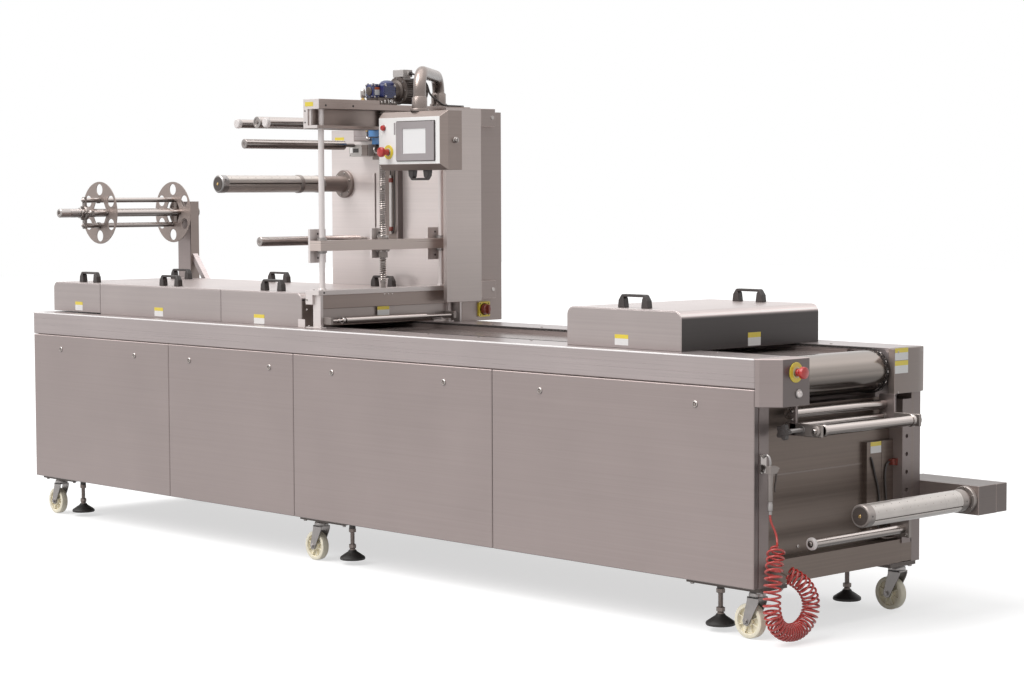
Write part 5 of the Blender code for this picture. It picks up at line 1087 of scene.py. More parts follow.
def rear_cabinet():
    """Door seams, hinges, locks and louvres on the cabinet, and the tower's cover sheet and switch plate."""
    tower = Shape(TOWER_STEEL)
    # Painted light: the tower's cover in a lit copy of the steel, with painted shade lower down.
    tower.box((-2.4211, -2.3994), (0.7444, 0.9506), (1.0694, 1.9186))
    for z0, z1 in ((1.8417, 1.9177), (1.080, 1.156)):
        tower.use(CABINET_STEEL).box((-2.4211, -2.3994), (0.9510, 1.0366), (z0 - 0.0006, z1 + 0.0006))
        tower.use(CHROME).disc((-2.3994, 1.020, (z0 + z1) / 2), X, 0.009, 0.002, 24)
    tower.done("tower_cover", bevel=0.0015)
    plate = Shape(YELLOW)
    plate.prism("X", round_box((0.9434, 1.0106), (0.9974, 1.0646), 0.006), (-2.4208, -2.4107))
    plate.use(BRICK).disc((-2.4110, 0.977, 1.031), X, 0.027, 0.0003, 36)
    plate.use(BLACK)
    for y, z in ((0.952, 1.006), (1.002, 1.006), (0.952, 1.056), (1.002, 1.056)):
        plate.screw((-2.411, y, z), X, 0.003, 0.0012)
    plate.done("switch_plate", bevel=0.001, slot="red_plastic")
    knob = Shape(BRICK)
    kx = -2.4104
    knob.solid((kx, 0.977, 1.031), X, [(0.024, 0), (0.024, 0.010), (0.0215, 0.019), (0.019, 0.021)], 40)
    knob.prism("X", round_box((0.972, 0.982), (1.0095, 1.0525), 0.004), (kx + 0.018, kx + 0.034))
    knob.done("main_switch_handle", "main_switch_body", "main_switch_knob", bevel=0.0015, slot="red_plastic")
    back = Shape(STEEL)
    y = 1.090
    doors = ((-3.300, -2.935), (-2.925, -2.560))
    for x0, x1 in doors:
        back.use(WALL_STEEL).box((x0, x1), (y - 0.0005, y + 0.0035), (1.000, 1.825))
    back.use(ZINC)
    for x in (-3.296, -2.564):
        for z in (1.10, 1.41, 1.72):
            back.post(x, y + 0.005, z - 0.03, z + 0.03, 0.0055, 16)
    back.use(BLACK)
    for x in (-2.965, -2.895):
        back.prism("Y", round_box((x - 0.012, x + 0.012), (1.36, 1.47), 0.010), (y + 0.003, y + 0.010))
    for row in range(8):
        z = 1.08 + row * 0.016
        back.use(SHADE_STEEL).prism("Y", round_box((-3.18, -3.06), (z - 0.003, z + 0.003), 0.0028, 3),
                                    (y + 0.002, y + 0.0045))
    back.done("cabinet_doors", bevel=0.001)


rear_wall()
wall_air_parts()
rear_cabinet()


# ---------------------------------------------------------------- operator panel and arm
def mushroom(shape, at, way, plate=0.035, stem=0.030):
    """An emergency stop: ring plate, sleeve and a red mushroom head."""
    base = Vector(at)
    out = Vector(way)
    shape.use(YELLOW).solid(base, out, [(plate, 0), (plate, 0.0025), (plate * 0.96, 0.004)], 44)
    shape.use(STICKER).ring(base + out * 0.0035, out, plate * 0.52, plate * 0.56, 0.001, 40)
    shape.use(ZINC).disc(base + out * 0.003, out, 0.0155, 0.006, 32)
    shape.use(RED).solid(base + out * 0.004, out, [(0.0135, 0), (0.0135, stem * 0.35), (0.0115, stem * 0.6),
                                                   (0.0135, stem * 0.85), (0.0135, stem)], 32)
    head = 0.021
    top = [(0, 0), (head * 0.80, 0), (head, 0.003), (head, 0.012), (head * 0.93, 0.0165), (head * 0.75, 0.0190),
           (0, 0.0198)]
    shape.turn(base + out * (0.004 + stem - 0.001), out, top, 44)


def operator_panel():
    """The panel's box, face, screen, controls and handle."""
    body = "operator_panel_body"
    x0, x1, y0, y1, z0, z1 = -2.385, -1.972, 0.350, 0.450, 1.643, 1.888
    cut = 0.024
    box = Shape(SIDE_STEEL)
    mid = y0 + cut
    box.skin([[(x0, y0, z0 + cut), (x1 - cut, y0, z0 + cut), (x1 - cut, y0, z1 - cut), (x0, y0, z1 - cut)],
              [(x0, mid, z0), (x1, mid, z0), (x1, mid, z1), (x0, mid, z1)],
              [(x0, y1, z0), (x1, y1, z0), (x1, y1, z1), (x0, y1, z1)]])
    box.box((x0 + 0.012, x1 - 0.012), (y1 - 0.001, y1 + 0.0015), (z0 + 0.012, z1 - 0.012))
    box.done("panel_box", body, "operator_panel", bevel=0.0018)
    face = Shape(WHITE)
    face.box((x0 + 0.0015, x1 - cut - 0.002), (y0 - 0.0008, y0 + 0.0008), (z0 + cut + 0.002, z1 - cut - 0.0005))
    face.done("panel_face", body, slot="brushed_stainless")
    screen = Shape(BEZEL)
    bx, bz = (-2.267, -2.028), (1.683, 1.845)
    rim = round_box(bx, bz, 0.004)
    opening = round_box((-2.225, -2.079), (1.712, 1.816), 0.002)
    screen.prism("Y", rim, (y0 - 0.0075, y0), [opening])
    screen.use(BLACK).prism("Y", round_box((bx[0] - 0.003, bx[1] + 0.004), (bz[0] - 0.003, bz[1] + 0.003),
                                           0.005), (y0 - 0.0025, y0 + 0.0002))
    screen.use(SCREEN).box((-2.2255, -2.0785), (y0 - 0.0052, y0 - 0.001), (1.7115, 1.8165))
    screen.done("touch_screen", body, bevel=0.0012, slot="black_rubber")
    parts = Shape(RED)
    parts.use(CHROME).disc((-2.352, y0, 1.822), BACK_Y, 0.0135, 0.003, 32)
    parts.use(RED).turn((-2.352, y0 - 0.002, 1.822), BACK_Y, [(0, 0), (0.0115, 0), (0.0115, 0.008),
                                                              (0.009, 0.012), (0.004, 0.0135), (0, 0.0138)], 32)
    parts.use(BEZEL).box((-2.286, -2.278), (y0 - 0.002, y0), (1.792, 1.842))
    mushroom(parts, (-2.322, y0, 1.720), BACK_Y, 0.030)
    lock_at = Vector((x1, 0.411, 1.765))
    parts.use(CHROME).solid(lock_at, X, [(0.0125, 0), (0.0125, 0.004), (0.010, 0.006), (0.010, 0.014),
                                         (0.008, 0.016)], 32)
    parts.box((x1 + 0.014, x1 + 0.019), (0.4085, 0.4135), (1.757, 1.773))
    parts.done("panel_controls", body, slot="red_plastic")
    grip = Shape(BLACK)
    bow_handle(grip, -2.1785, 0.400, z0 + 0.001, 0.130, 0.043, 0.024, -1)
    grip.done("panel_handle", body, bevel=0.003, steps=3, angle=25)


def panel_arm():
    """The bent pipe that carries the panel, with its flanges."""
    pivot, head, top = Vector((-2.500, 0.790)), Vector((-2.180, 0.400)), 2.055
    reach = (head - pivot).length
    across = (head - pivot).normalized()
    bend = 0.085
    pairs = [(0, 1.930), (0, top - bend)]
    pairs += [(bend - bend * math.cos(a),
               top - bend + bend * math.sin(a)) for a in [math.pi / 2 * k / 14 for k in range(1, 15)]]
    pairs += [(reach - u, v) for u, v in reversed(pairs[1:])] + [(reach, 1.901)]
    route = [(pivot.x + across.x * u, pivot.y + across.y * u, v) for u, v in pairs]
    arm = Shape(SATIN)
    arm.tube(route, 0.0265, 48)
    for place, base in ((pivot, 1.9253), (head, 1.8883)):
        arm.solid((*place, base), Z, [(0.0385, 0), (0.0385, 0.010), (0.0375, 0.012)], 48)
        arm.solid((*place, base + 0.0115), Z, [(0.0325, 0), (0.0325, 0.044), (0.0315, 0.0455)], 48)
        arm.solid((*place, base + 0.050), Z, [(0.0290, 0), (0.0290, 0.010), (0.0275, 0.012)], 48)
        for a in angles_of(4, math.pi / 4):
            arm.screw((*around(place.x, place.y, 0.0355, a), base + 0.012), Z, 0.0022, 0.002)
    arm.done("panel_arm_pipe", "panel_arm_body", "panel_arm", angle=35)


operator_panel()
panel_arm()


# ---------------------------------------------------------------- scrap rewinder
REEL_X, REEL_Z = -4.555, 1.456


def scrap_reel():
    """The rewinder's two discs on four bars, with hub and spring."""
    x, z = REEL_X, REEL_Z
    body = "scrap_reel_body"
    discs = Shape(SIDE_STEEL)
    for y in (0.375, 0.812):
        holes = [ring_points((x, z), 0.066, 0, 360, 6)[:-1]]
        for a in angles_of(6, math.pi / 2):
            at = around(x, z, 0.114, a)
            holes.append(ring_points(at, 0.0275, 0, 360, 28)[:-1])
        discs.prism("Y", ring_points((x, z), 0.153, 0, 360, 72)[:-1], (y - 0.002, y + 0.002), holes)
    discs.done("reel_discs", body, "scrap_reel", bevel=0.0008, steps=1)
    frame_parts = Shape(POLISHED)
    for a in angles_of(4, math.pi / 2):
        u, v = x + 0.062 * math.cos(a), z + 0.062 * math.sin(a)
        frame_parts.use(POLISHED).solid((u, 0.275, v), Y, [(0.010, 0), (0.0122, 0.002), (0.0122, 0.552)], 24)
        frame_parts.use(CHROME).bolt((u, 0.2755, v), BACK_Y, 0.006, 0.005)
        frame_parts.use(CAST).disc((u, 0.360, v), Y, 0.0155, 0.013, 24)
        frame_parts.bolt(on_ring(u, 0.3665, v, 0.012, a), (math.cos(a), 0, math.sin(a)), 0.004, 0.006)
    frame_parts.use(POLISHED).bar(x, z, 0.190, 0.8794, 0.0205, 36)
    frame_parts.done("reel_bars", body, angle=30)
    hub = Shape(CAST)

    def cross(reach, half):
        corners = ((reach, -half), (reach, half), (half, half))
        return [point for a in angles_of(4) for point in turn_flat(x, z, a, corners)]
    hub.prism("Y", cross(0.078, 0.012), (0.281, 0.293))
    hub.use(SHADE_STEEL).prism("Y", cross(0.078, 0.012), (0.8245, 0.8355))
    hub.prism("Y", ring_points((x, z), 0.070, 0, 360, 40)[:-1], (0.8365, 0.8415))
    hub.use(CAST).solid((x, 0.296, z), BACK_Y, [(0.034, 0), (0.034, 0.014), (0.028, 0.018)], 36)
    hub.prism("Y", round_box((x - 0.005, x + 0.005), (z - 0.034, z + 0.034), 0.0045), (0.266, 0.281))
    hub.prism("Y", round_box((x - 0.034, x + 0.034), (z - 0.005, z + 0.005), 0.0045), (0.268, 0.281))
    hub.use(CHROME).solid((x, 0.200, z), BACK_Y, [(0.020, 0), (0.022, 0.003), (0.022, 0.056), (0.019, 0.060),
                                                  (0.010, 0.060), (0.009, 0.052)], 40)
    hub.solid((x, 0.262, z), BACK_Y, [(0.026, 0), (0.026, 0.006), (0.0195, 0.008)], 36)
    spring = []
    for k in range(7 * 18 + 1):
        a = 2 * math.pi * k / 18
        spring.append(on_ring(x, 0.202 + 0.050 * k / 126, z, 0.0205, a))
    hub.use(ZINC).tube(spring, 0.0017, 8)
    hub.solid((x, 0.850, z), Y, [(0.030, 0), (0.030, 0.022), (0.024, 0.028)], 36)
    hub.done("reel_hub", body, bevel=0.0008, steps=1, angle=30)


def rewinder_post():
    """The rewinder's post, bearing and feet."""
    post = Shape(STEEL)
    # Painted light: the post in the lit bridge steel, its front face in the plain steel and its face towards the
    # infeed end in the darker side steel.
    post.use(BRIDGE_STEEL).box((-4.610, -4.500), (0.8805, 0.930), (0.9805, 1.5085))
    post.use(STEEL).box((-4.6105, -4.4995), (0.8795, 0.8812), (0.9802, 1.5092))
    post.use(SIDE_STEEL).box((-4.505, -4.4992), (0.8795, 0.9302), (0.9802, 1.5092))
    post.done("rewinder_post_skin", bevel=0.0015)
    parts = Shape(CAST)
    parts.solid((REEL_X, 0.9304, REEL_Z), Y, [(0.045, 0), (0.045, 0.008), (0.028, 0.012), (0.028, 0.026)], 40)
    parts.use(CHROME).screws(REEL_X, 0.9384, REEL_Z, 0.036, angles_of(4, math.pi / 4), Y, 0.005, 0.004)
    parts.use(STEEL).box((-4.5005, -4.452), (0.8905, 0.9195), (0.9805, 0.990))
    parts.use(ZINC).bolt((-4.468, 0.897, 0.990), Z, 0.005, 0.005)
    parts.bolt((-4.468, 0.913, 0.990), Z, 0.005, 0.005)
    parts.use(STEEL).box((-4.345, -4.262), (0.885, 0.925), (0.9803, 0.986))
    for x in (-4.333, -4.275):
        parts.use(ZINC).bolt((x, 0.905, 0.986), Z, 0.005, 0.004)
    parts.done("rewinder_bearing", bevel=0.0006, steps=1)


scrap_reel()
rewinder_post()


# ---------------------------------------------------------------- infeed end
DRUM_X, DRUM_Z = -0.070, 0.897
CHAIN_OUT = 0.2585      # from the middle to a chain
GUIDE_X, GUIDE_Z = 0.120, 0.728
UNWIND_X, UNWIND_Z = 0.205, 0.430


def chains():
    """Two clip chains of plates and pins round the drum's sprockets and along the deck."""
    left, radius = -4.400, 0.079
    straight = DRUM_X - left
    loop = 2 * straight + 2 * math.pi * radius
    count = 480
    for name, middle in (("clip_chain_front", MID - CHAIN_OUT), ("clip_chain_rear", MID + CHAIN_OUT)):
        chain = Shape(RUBBER)

        def spot(s):
            s %= loop
            if s < straight:
                return (left + s, DRUM_Z + radius), 0.0
            s -= straight
            if s < math.pi * radius:
                a = s / radius
                return (DRUM_X + radius * math.sin(a), DRUM_Z + radius * math.cos(a)), -a
            s -= math.pi * radius
            if s < straight:
                return (DRUM_X - s, DRUM_Z - radius), math.pi
            a = (s - straight) / radius
            return (left - radius * math.sin(a), DRUM_Z - radius * math.cos(a)), math.pi - a
        for k in range(count):
            a, _ = spot(loop * k / count)
            b, _ = spot(loop * (k + 1) / count)
            way = Vector((b[0] - a[0], b[1] - a[1]))
            long = way.length
            way.normalize()
            up = Vector((-way.y, way.x))
            inner = k % 2 == 0
            y = 0.0035 if inner else 0.0048
            outline = []
            for u, v in ((-0.0030, -0.0016), (-0.0012, -0.0036), (0.0030, -0.0036), (0.0060, -0.0022),
                         (long - 0.0060, -0.0022), (long - 0.0030, -0.0036), (long + 0.0012, -0.0036),
                         (long + 0.0030, -0.0016), (long + 0.0030, 0.0016), (long + 0.0012, 0.0036),
                         (long - 0.0030, 0.0036), (0.0060, 0.0036), (-0.0012, 0.0036), (-0.0030, 0.0016)):
                outline.append((a[0] + way.x * u + up.x * v, a[1] + way.y * u + up.y * v))
            for side in (-1, 1):
                chain.use(RUBBER if not inner else BLACK)
                chain.prism("Y", outline, (middle + side * y - 0.0006, middle + side * y + 0.0006))
            seat = Vector(a) + up * 0.0005
            chain.use(CHROME).bar(seat.x, seat.y, middle - 0.0060, middle + 0.0060, 0.0019, 8)
            if not inner:
                centre = (Vector(a) + Vector(b)) / 2 + up * 0.0004
                low = centre - way * 0.0042
                high = centre + way * 0.0042
                chain.use(WALL_STEEL).rod((low.x, middle, low.y), (high.x, middle, high.y), 0.0028, sides=8)
        chain.done(name + "_links", replaces=name, angle=40, slot="black_rubber")


def drum():
    """The infeed drum with its two sprockets."""
    half = 0.2465
    shape = Shape(DRUM)
    at = lambda y: (DRUM_X, y, DRUM_Z)
    shape.barrel(at(MID - half), Y, 0.075, 2 * half, 0.002, 72)
    shape.use(CAST).rod(at(0.1936), at(0.7444), 0.015, sides=32)
    for side in (-1, 1):
        middle = MID + side * CHAIN_OUT
        teeth = []
        for a in angles_of(26):
            teeth += [around(DRUM_X, DRUM_Z, r, a + shift) for shift,
                      r in ((-0.085, 0.0685), (-0.03, 0.0735), (0.03, 0.0735), (0.085, 0.0685))]
        shape.use(SHADE_STEEL).prism("Y", teeth, (middle - 0.0022, middle + 0.0022))
        shape.use(DARK_STEEL).disc(at(middle - 0.0048), Y, 0.030, 0.0096, 36)
    shape.turned("infeed_drum", angle=25)


def corner_blocks():
    """Both corner blocks, the end controls and the star knob."""
    near = Shape(STEEL)
    outline = [(0.0003, 0), (0.020, 0), (0.080, 0.054), (0.080, 0.198), (0.0003, 0.198)]
    near.prism("Z", outline, (0.815, DECK))
    near.box((0.0003, 0.030), (0.186, 0.198), (0.705, 0.817))
    near.use(CAST).box((0.0003, 0.142), (0.186, 0.198), (0.706, 0.750))
    near.done("near_block_shell", replaces="near_corner_block", bevel=0.003, steps=3)
    knobs = Shape(RED)
    mushroom(knobs, (0.080, 0.123, 0.932), X, stem=0.022)
    knobs.use(ZINC).solid((0.080, 0.138, 0.857), X, [(0.016, 0), (0.016, 0.003), (0.0135, 0.005)], 32)
    dome = [(0, 0), (0.0125, 0), (0.0120, 0.0025), (0.0095, 0.0055), (0.0055, 0.0075), (0, 0.0082)]
    knobs.use(WALL_STEEL).turn((0.0845, 0.138, 0.857), X, dome, 32)
    knobs.done("end_controls", slot="red_plastic")
    star = Shape(BLACK)
    lobes = [around(0.055, 0.728, 0.0245 + 0.0045 * math.cos(5 * a), a) for a in angles_of(60)]
    star.prism("Y", lobes, (0.081, 0.099))
    star.solid((0.055, 0.079, 0.728), Y, [(0.010, 0), (0.013, 0.004), (0.013, 0.032)], 28)
    star.use(ZINC).bar(0.055, 0.728, 0.110, 0.187, 0.008, 24)
    star.tube([on_ring(0.055, 0.116 + 0.0003 * k, 0.728, 0.0078, 0.5 * k) for k in range(220)], 0.0009, 5)
    star.disc((0.055, 0.186, 0.728), BACK_Y, 0.015, 0.003, 28)
    star.done("star_knob", bevel=0.002, angle=40)
    far = Shape(SHADE_STEEL)
    outline = [(0.0003, 0.740), (0.030, 0.740), (0.030, 0.884), (0.012, WIDE), (0.0003, WIDE)]
    far.prism("Z", outline, (0.815, DECK))
    far.use(STEEL).box((-0.040, 0.030), (0.740, 0.752), (0.705, 0.8147))
    far.box((0.0003, 0.030), (0.7403, 0.7517), (0.805, 0.817))
    far.use(CAST).box((0.0003, 0.142), (0.7402, 0.7522), (0.706, 0.750))
    far.done("far_block_shell", replaces="far_corner_block", bevel=0.003, steps=3, slot="brushed_stainless")
    small = Shape(CHROME)
    for y, z in ((0.761, 0.967), (0.761, 0.820), (0.915, 0.967)):
        small.screw((0.030 if y < 0.9 else 0.019, y, z), X, 0.004, 0.0015)
    for y, way in ((0.186, BACK_Y), (0.752, Y)):
        small.bolt((0.012, y, 0.790), way, 0.006, 0.005)
        small.bolt((0.012, y, 0.762), way, 0.006, 0.005)
        small.use(CAST).solid((GUIDE_X, y, GUIDE_Z), way, [(0.019, 0), (0.019, 0.006), (0.014, 0.009)], 32)
        small.use(CHROME).bolt((GUIDE_X, y + way[1] * 0.009, GUIDE_Z), way, 0.008, 0.006)
    small.done("end_bolts")


def end_rollers():
    """The rollers and the fixed bar at the infeed end."""
    made = roller(-0.018, 0.777, 0.1986, 0.7394, 0.018)
    made.turned("end_roller")
    bar = Shape(POLISHED)
    bar.bar(-0.018, 0.733, 0.1983, 0.742, 0.012, 32)
    for y in (0.1983, 0.728):
        bar.use(CAST).ring((-0.018, y, 0.733), Y, 0.0118, 0.0165, 0.011, 32)
    bar.done("fixed_end_bar")
    guide = Shape(POLISHED)
    at = lambda y: (GUIDE_X, y, GUIDE_Z)
    guide.barrel(at(0.2126), Y, 0.019, 0.5128, 0.0012, 44)
    for y in (0.2126, 0.7114):
        guide.barrel(at(y), Y, 0.0225, 0.014, 0.0012, 40)
    guide.use(CAST).rod(at(0.1986), at(0.7394), 0.009, sides=24)
    guide.turned("guide_roller", angle=28)


def end_details():
    """Cables, slotted rail and hardware on the recessed end plate."""
    rail = Shape(SHADE_STEEL)
    rail.box((-0.060, 0.0035), (0.8775, 0.8925), (0.276, 0.8147))
    rail.use(DARK_STEEL).box((-0.060, -0.020), (0.892, 0.914), (0.2755, 0.8147))
    rail.use(BLACK).box((-0.022, -0.004), (0.8935, 0.9125), (0.290, 0.660))
    rail.done("slotted_rail", bevel=0.001)
    # Painted shade: the far corner cover in the dark end plate copy.
    corner = Shape(SHADED_END_STEEL)
    corner.box((-0.0605, -0.0003), (0.8240, 0.8872), (0.1905, 0.2597))
    corner.done("far_corner_cover", bevel=0.001)
    cables = Shape(BLACK)
    x = -0.0335
    cables.bend(((-0.0377, 0.690, 0.585), (x, 0.694, 0.572), (x, 0.712, 0.520), (x, 0.733, 0.461),
                 (x, 0.738, 0.400), (x, 0.735, 0.340), (-0.0385, 0.735, 0.318)), 0.008, 0.0038, 10)
    cables.bend(((x, 0.800, 0.559), (x, 0.788, 0.557), (x, 0.776, 0.540), (x, 0.772, 0.500), (x, 0.778, 0.440),
                 (x, 0.781, 0.380), (x, 0.781, 0.330), (-0.0385, 0.781, 0.312)), 0.008, 0.0038, 10)
    cables.use(BRICK).box((-0.0377, -0.020), (0.798, 0.811), (0.549, 0.569))
    cables.box((-0.0377, -0.016), (0.816, 0.823), (0.546, 0.571))
    cables.use(CHROME).box((-0.036, -0.0215), (0.810, 0.8165), (0.551, 0.567))
    cables.done("end_cables", slot="black_rubber")
    seam = Shape(STEEL)
    seam.use(SHADE_STEEL).box((-0.0580, -0.0545), (0.083, 0.660), (0.560, 0.566))
    seam.use(CHROME)
    for y, z in crossed((0.110, 0.30, 0.49, 0.64), (0.300, 0.765)):
        seam.screw((-0.0557, y, z), X, 0.0055, 0.003)
    seam.done("end_plate_trim")
    low = Shape(CAST)
    low.box((0.030, 0.086), (0.7572, 0.7718), (0.2955, 0.3725))
    low.use(CHROME)
    for y, z in ((0.7572, 0.306), (0.7572, 0.362)):
        low.screw((0.076, y, z), BACK_Y, 0.005, 0.004)
    low.done("low_roller_bracket", bevel=0.0015)
    wire = Shape(SHADE_STEEL)
    wire.bend(((-0.040, 0.694, 0.322), (-0.024, 0.706, 0.310), (-0.020, 0.730, 0.291), (-0.020, 0.760, 0.283),
               (-0.022, 0.8235, 0.280)), 0.006, 0.0036, 12)
    wire.done("end_wire")


def low_roller():
    """The capped roller low on the end plate."""
    made = roller(0.055, 0.326, 0.236, 0.7634, 0.017, (0.0225, 0.011))
    made.use(DARK_STEEL).disc((0.055, 0.2354, 0.326), Y, 0.0125, 0.002, 28)
    made.use(CHROME).bolt((0.055, 0.2354, 0.326), BACK_Y, 0.0085, 0.003)
    made.turned("low_roller", slot="brushed_stainless")


def unwinder():
    """The unwinder's arm and the bottom film shaft."""
    arm = Shape(ARM_STEEL)
    arm.box((-0.120, 0.260), (0.9383, 1.0475), (0.376, 0.482))
    arm.box((-0.1195, 0.2595), (1.0485, 1.115), (0.3765, 0.4815))
    arm.box((-0.118, 0.258), (1.046, 1.050), (0.378, 0.480))
    arm.done("unwinder_arm_shell", replaces="unwinder_arm", bevel=0.002, steps=3)
    shaft = Shape(SHAFT)
    film_shaft(shaft, SHAFT, UNWIND_X, UNWIND_Z, 0.320, 0.905, 0.041, angles_of(3, math.radians(-24)))
    shaft.use(SHADE_STEEL).bar(UNWIND_X, UNWIND_Z, 0.904, 0.918, 0.036, 40)
    shaft.use(CAST).solid((UNWIND_X, 0.9374, UNWIND_Z), BACK_Y, [(0.050, 0), (0.050, 0.014), (0.047, 0.0165),
                                                                 (0.036, 0.0175)], 56)
    shaft.use(CHROME)
    shaft.screws(UNWIND_X, 0.9210, UNWIND_Z, 0.0435, angles_of(6, 0.4), BACK_Y, 0.0032, 0.002)
    shaft.turned("bottom_film_shaft", angle=28)


chains()
drum()
corner_blocks()
end_rollers()
end_details()
low_roller()
unwinder()


# ---------------------------------------------------------------- castors, feet and blow gun
def castor(number, x, y):
    """A castor: pressed fork with its bolts, and a moulded wheel."""
    ax, az = x - 0.031, 0.0625
    fork = Shape(ZINC)
    fork.solid((x, y, 0.1495), Z, [(0.026, 0), (0.030, 0.004), (0.030, 0.010), (0.027, 0.0165)], 40)
    fork.post(x, y, 0.165, 0.1737, 0.012, 24)
    leg = ring_points((ax, az), 0.0155, 150, 345, 14)
    leg += [(x + 0.020, 0.124), (x + 0.026, 0.140), (x + 0.026, 0.1515), (x - 0.026, 0.1515), (x - 0.027, 0.138)]
    for side in (-1, 1):
        inner, outer = y + side * 0.021, y + side * 0.025
        fork.prism("Y", leg, tuple(sorted((inner, outer))))
        fork.bolt((ax, outer, az), (0, side, 0), 0.0075, 0.006)
    fork.box((x - 0.026, x + 0.026), (y - 0.025, y + 0.025), (0.146, 0.151))
    fork.bar(ax, az, y - 0.024, y + 0.024, 0.0058, 20)
    fork.done(f"castor_fork_{number}_pressed", f"castor_{number}_fork_body", f"castor_fork_{number}", bevel=0.0012)
    wheel = Shape(NYLON)
    tread = [(0.047, -0.016), (0.058, -0.016), (0.0605, -0.0145), (0.0615, -0.010), (0.0615, 0.010),
             (0.0605, 0.0145), (0.058, 0.016), (0.047, 0.016), (0.0455, 0.013), (0.0455, -0.013)]
    wheel.turn((ax, y, az), Y, tread, 64)
    wheel.ring((ax, y, az), Y, 0.018, 0.047, 0.0035, 48, -0.0035)
    wheel.turn((ax, y, az), Y, [(0.0072, -0.0165), (0.0165, -0.0165), (0.0185, -0.0145), (0.0185, 0.0145),
                                (0.0165, 0.0165), (0.0072, 0.0165)], 40)
    for a in angles_of(8, math.pi / 8):
        rib = turn_flat(ax, az, a, ((0.017, -0.0022), (0.0465, -0.0016), (0.0465, 0.0016), (0.017, 0.0022)))
        for w in (-0.0125, 0.0035):
            wheel.prism("Y", rib, (y + w, y + w + 0.009))
    wheel.done(f"castor_wheel_{number}_moulded", f"castor_{number}_wheel_body", f"castor_wheel_{number}",
               bevel=0.0008, steps=1)


def foot(number, x, y):
    """A levelling foot, screwed up a little: the machine stands on its castors in the photo."""
    shape = Shape(RUBBER)
    shape.solid((x, y, 0.019), Z, [(0.051, 0), (0.053, 0.002), (0.053, 0.009), (0.050, 0.013), (0.034, 0.024),
                                   (0.019, 0.034), (0.0155, 0.040)], 48)
    shape.use(SHADE_STEEL).solid((x, y, 0.057), Z, [(0.0125, 0), (0.0125, 0.006), (0.010, 0.009)], 28)
    shape.post(x, y, 0.061, 0.1737, 0.0082, 20)
    shape.tube([(*around(x, y, 0.0084, 0.6 * k), 0.083 + 0.0002 * k) for k in range(400)], 0.0008, 5)
    for base in (0.067, 0.1337):
        shape.barrel((x, y, base), Z, 0.016, 0.016, 0.0015, 6)
    shape.use(BLACK).post(x, y, 0.1500, 0.1737, 0.0135, 24)
    shape.done(f"levelling_foot_{number}_turned", replaces=f"levelling_foot_{number}", angle=35, slot="black_rubber")


def castors_and_feet():
    """Three castors with levelling feet in each row."""
    number = 0
    for rear in (False, True):
        for cx, fx in zip(CASTOR_X, FOOT_X):
            number += 1
            castor(number, cx, WIDE - 0.072 if rear else 0.072)
            foot(number, fx, WIDE - 0.112 if rear else 0.112)


def blow_gun():
    """The air gun on its bracket, with lever and nozzle."""
    x, y = 0.034, 0.045
    gun = Shape(CAST)
    at = lambda z: (x, y, z)
    gun.solid(at(0.490), Z, [(0.0075, 0), (0.009, 0.004), (0.0085, 0.060), (0.0105, 0.100), (0.010, 0.122)], 32)
    gun.use(ZINC).solid(at(0.4460), Z, [(0.0062, 0), (0.0062, 0.012), (0.009, 0.014), (0.009, 0.034),
                                        (0.0075, 0.038), (0.0075, 0.046)], 24)
    gun.use(CAST).prism("X", [(y - 0.011, 0.586), (y + 0.018, 0.586), (y + 0.030, 0.594), (y + 0.030, 0.608),
                              (y + 0.014, 0.6135), (y - 0.011, 0.6135)], (x - 0.0115, x + 0.0115))
    gun.solid((x, y + 0.026, 0.601), Y, [(0.008, 0), (0.008, 0.010), (0.0042, 0.014), (0.0036, 0.019)], 24)
    lever = smooth(((x, y + 0.026, 0.606), (x, y + 0.032, 0.590), (x, y + 0.030, 0.565), (x, y + 0.024, 0.540),
                    (x, y + 0.026, 0.522)), 0.003)
    gun.use(DARK_STEEL).tube(lever, 0.0032, 12)
    gun.use(ZINC).bend(((x - 0.001, y, 0.610), (x - 0.001, y, 0.630), (x - 0.008, y, 0.646),
                        (x - 0.020, y, 0.648), (x - 0.031, y, 0.640)), 0.003, 0.0045, 12)
    gun.use(CHROME).prism("X", round_box((y - 0.015, y + 0.015), (0.585, 0.6505), 0.004), (0.0003, 0.0043))
    for z in (0.594, 0.642):
        gun.use(ZINC).screw((0.0043, y, z), X, 0.0035, 0.002)
    gun.done("blow_gun_cast", replaces="blow_gun", bevel=0.0012, angle=35)


castors_and_feet()
blow_gun()


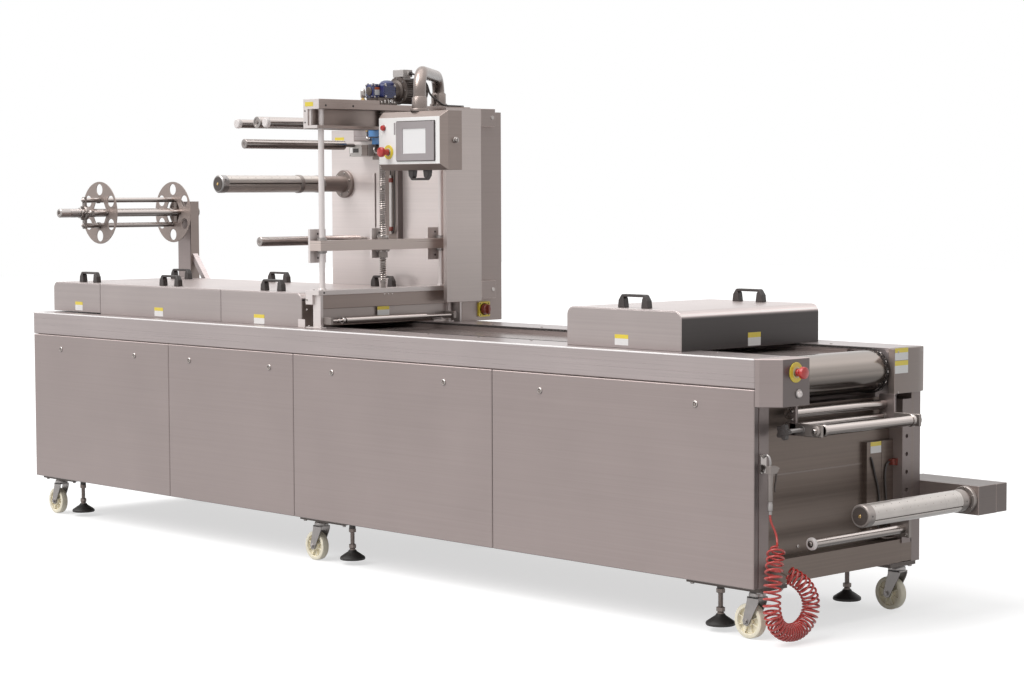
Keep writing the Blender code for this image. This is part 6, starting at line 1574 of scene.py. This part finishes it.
# ---------------------------------------------------------------- stage and light
def stage():
    """A white floor that shows white to the camera and still takes the machine's shadow."""
    data = bpy.data.meshes.new("floor")
    half = 30
    corners = [(x, y, -0.0005) for x, y in ((-half, -half), (half, -half), (half, half), (-half, half))]
    data.from_pydata(corners, [], [(0, 1, 2, 3)])
    add("floor", data)
    look = bpy.data.materials.new("floor_white")
    look.use_nodes = True
    tree = look.node_tree
    tree.nodes.clear()
    out = tree.nodes.new("ShaderNodeOutputMaterial")
    both = tree.nodes.new("ShaderNodeAddShader")
    matt = tree.nodes.new("ShaderNodeBsdfDiffuse")
    matt.inputs["Color"].default_value = (0.50, 0.50, 0.50, 1)
    glow = tree.nodes.new("ShaderNodeEmission")
    tree.links.new(seen_by_eye(tree, 0.0, 0.62), glow.inputs["Strength"])
    tree.links.new(matt.outputs[0], both.inputs[0])
    tree.links.new(glow.outputs[0], both.inputs[1])
    tree.links.new(both.outputs[0], out.inputs["Surface"])
    data.materials.append(look)


def seen_by_eye(tree, otherwise, seen):
    """A strength that differs for what the camera sees, straight on or in a reflection."""
    path = tree.nodes.new("ShaderNodeLightPath")
    most = path.outputs["Is Camera Ray"]
    for name in ("Is Glossy Ray", "Is Transmission Ray"):
        step = tree.nodes.new("ShaderNodeMath")
        step.operation = "MAXIMUM"
        tree.links.new(most, step.inputs[0])
        tree.links.new(path.outputs[name], step.inputs[1])
        most = step.outputs[0]
    span = tree.nodes.new("ShaderNodeMapRange")
    tree.links.new(most, span.inputs["Value"])
    span.inputs["To Min"].default_value = otherwise
    span.inputs["To Max"].default_value = seen
    return span.outputs[0]


def lights():
    """Plain studio light: white all round, a soft key and a soft top light."""
    world = bpy.data.worlds.new("studio")
    world.use_nodes = True
    bpy.context.scene.world = world
    tree = world.node_tree
    back = tree.nodes["Background"]
    back.inputs["Color"].default_value = (1, 1, 1, 1)
    tree.links.new(seen_by_eye(tree, 0.38, 1.0), back.inputs["Strength"])
    for name, way, strength, spread in (("key", (0.22, 0.62, -0.76), 2.3, 50), ("top", (0.0, 0.05, -1.0), 0.8, 70)):
        data = bpy.data.lights.new(name, "SUN")
        data.energy = strength
        data.angle = math.radians(spread)
        data.color = (1.0, 0.992, 0.985)
        add(name, data).rotation_euler = Vector(way).to_track_quat("-Z", "Y").to_euler()
    settings = bpy.context.scene.view_settings
    settings.view_transform = "Standard"


stage()
lights()
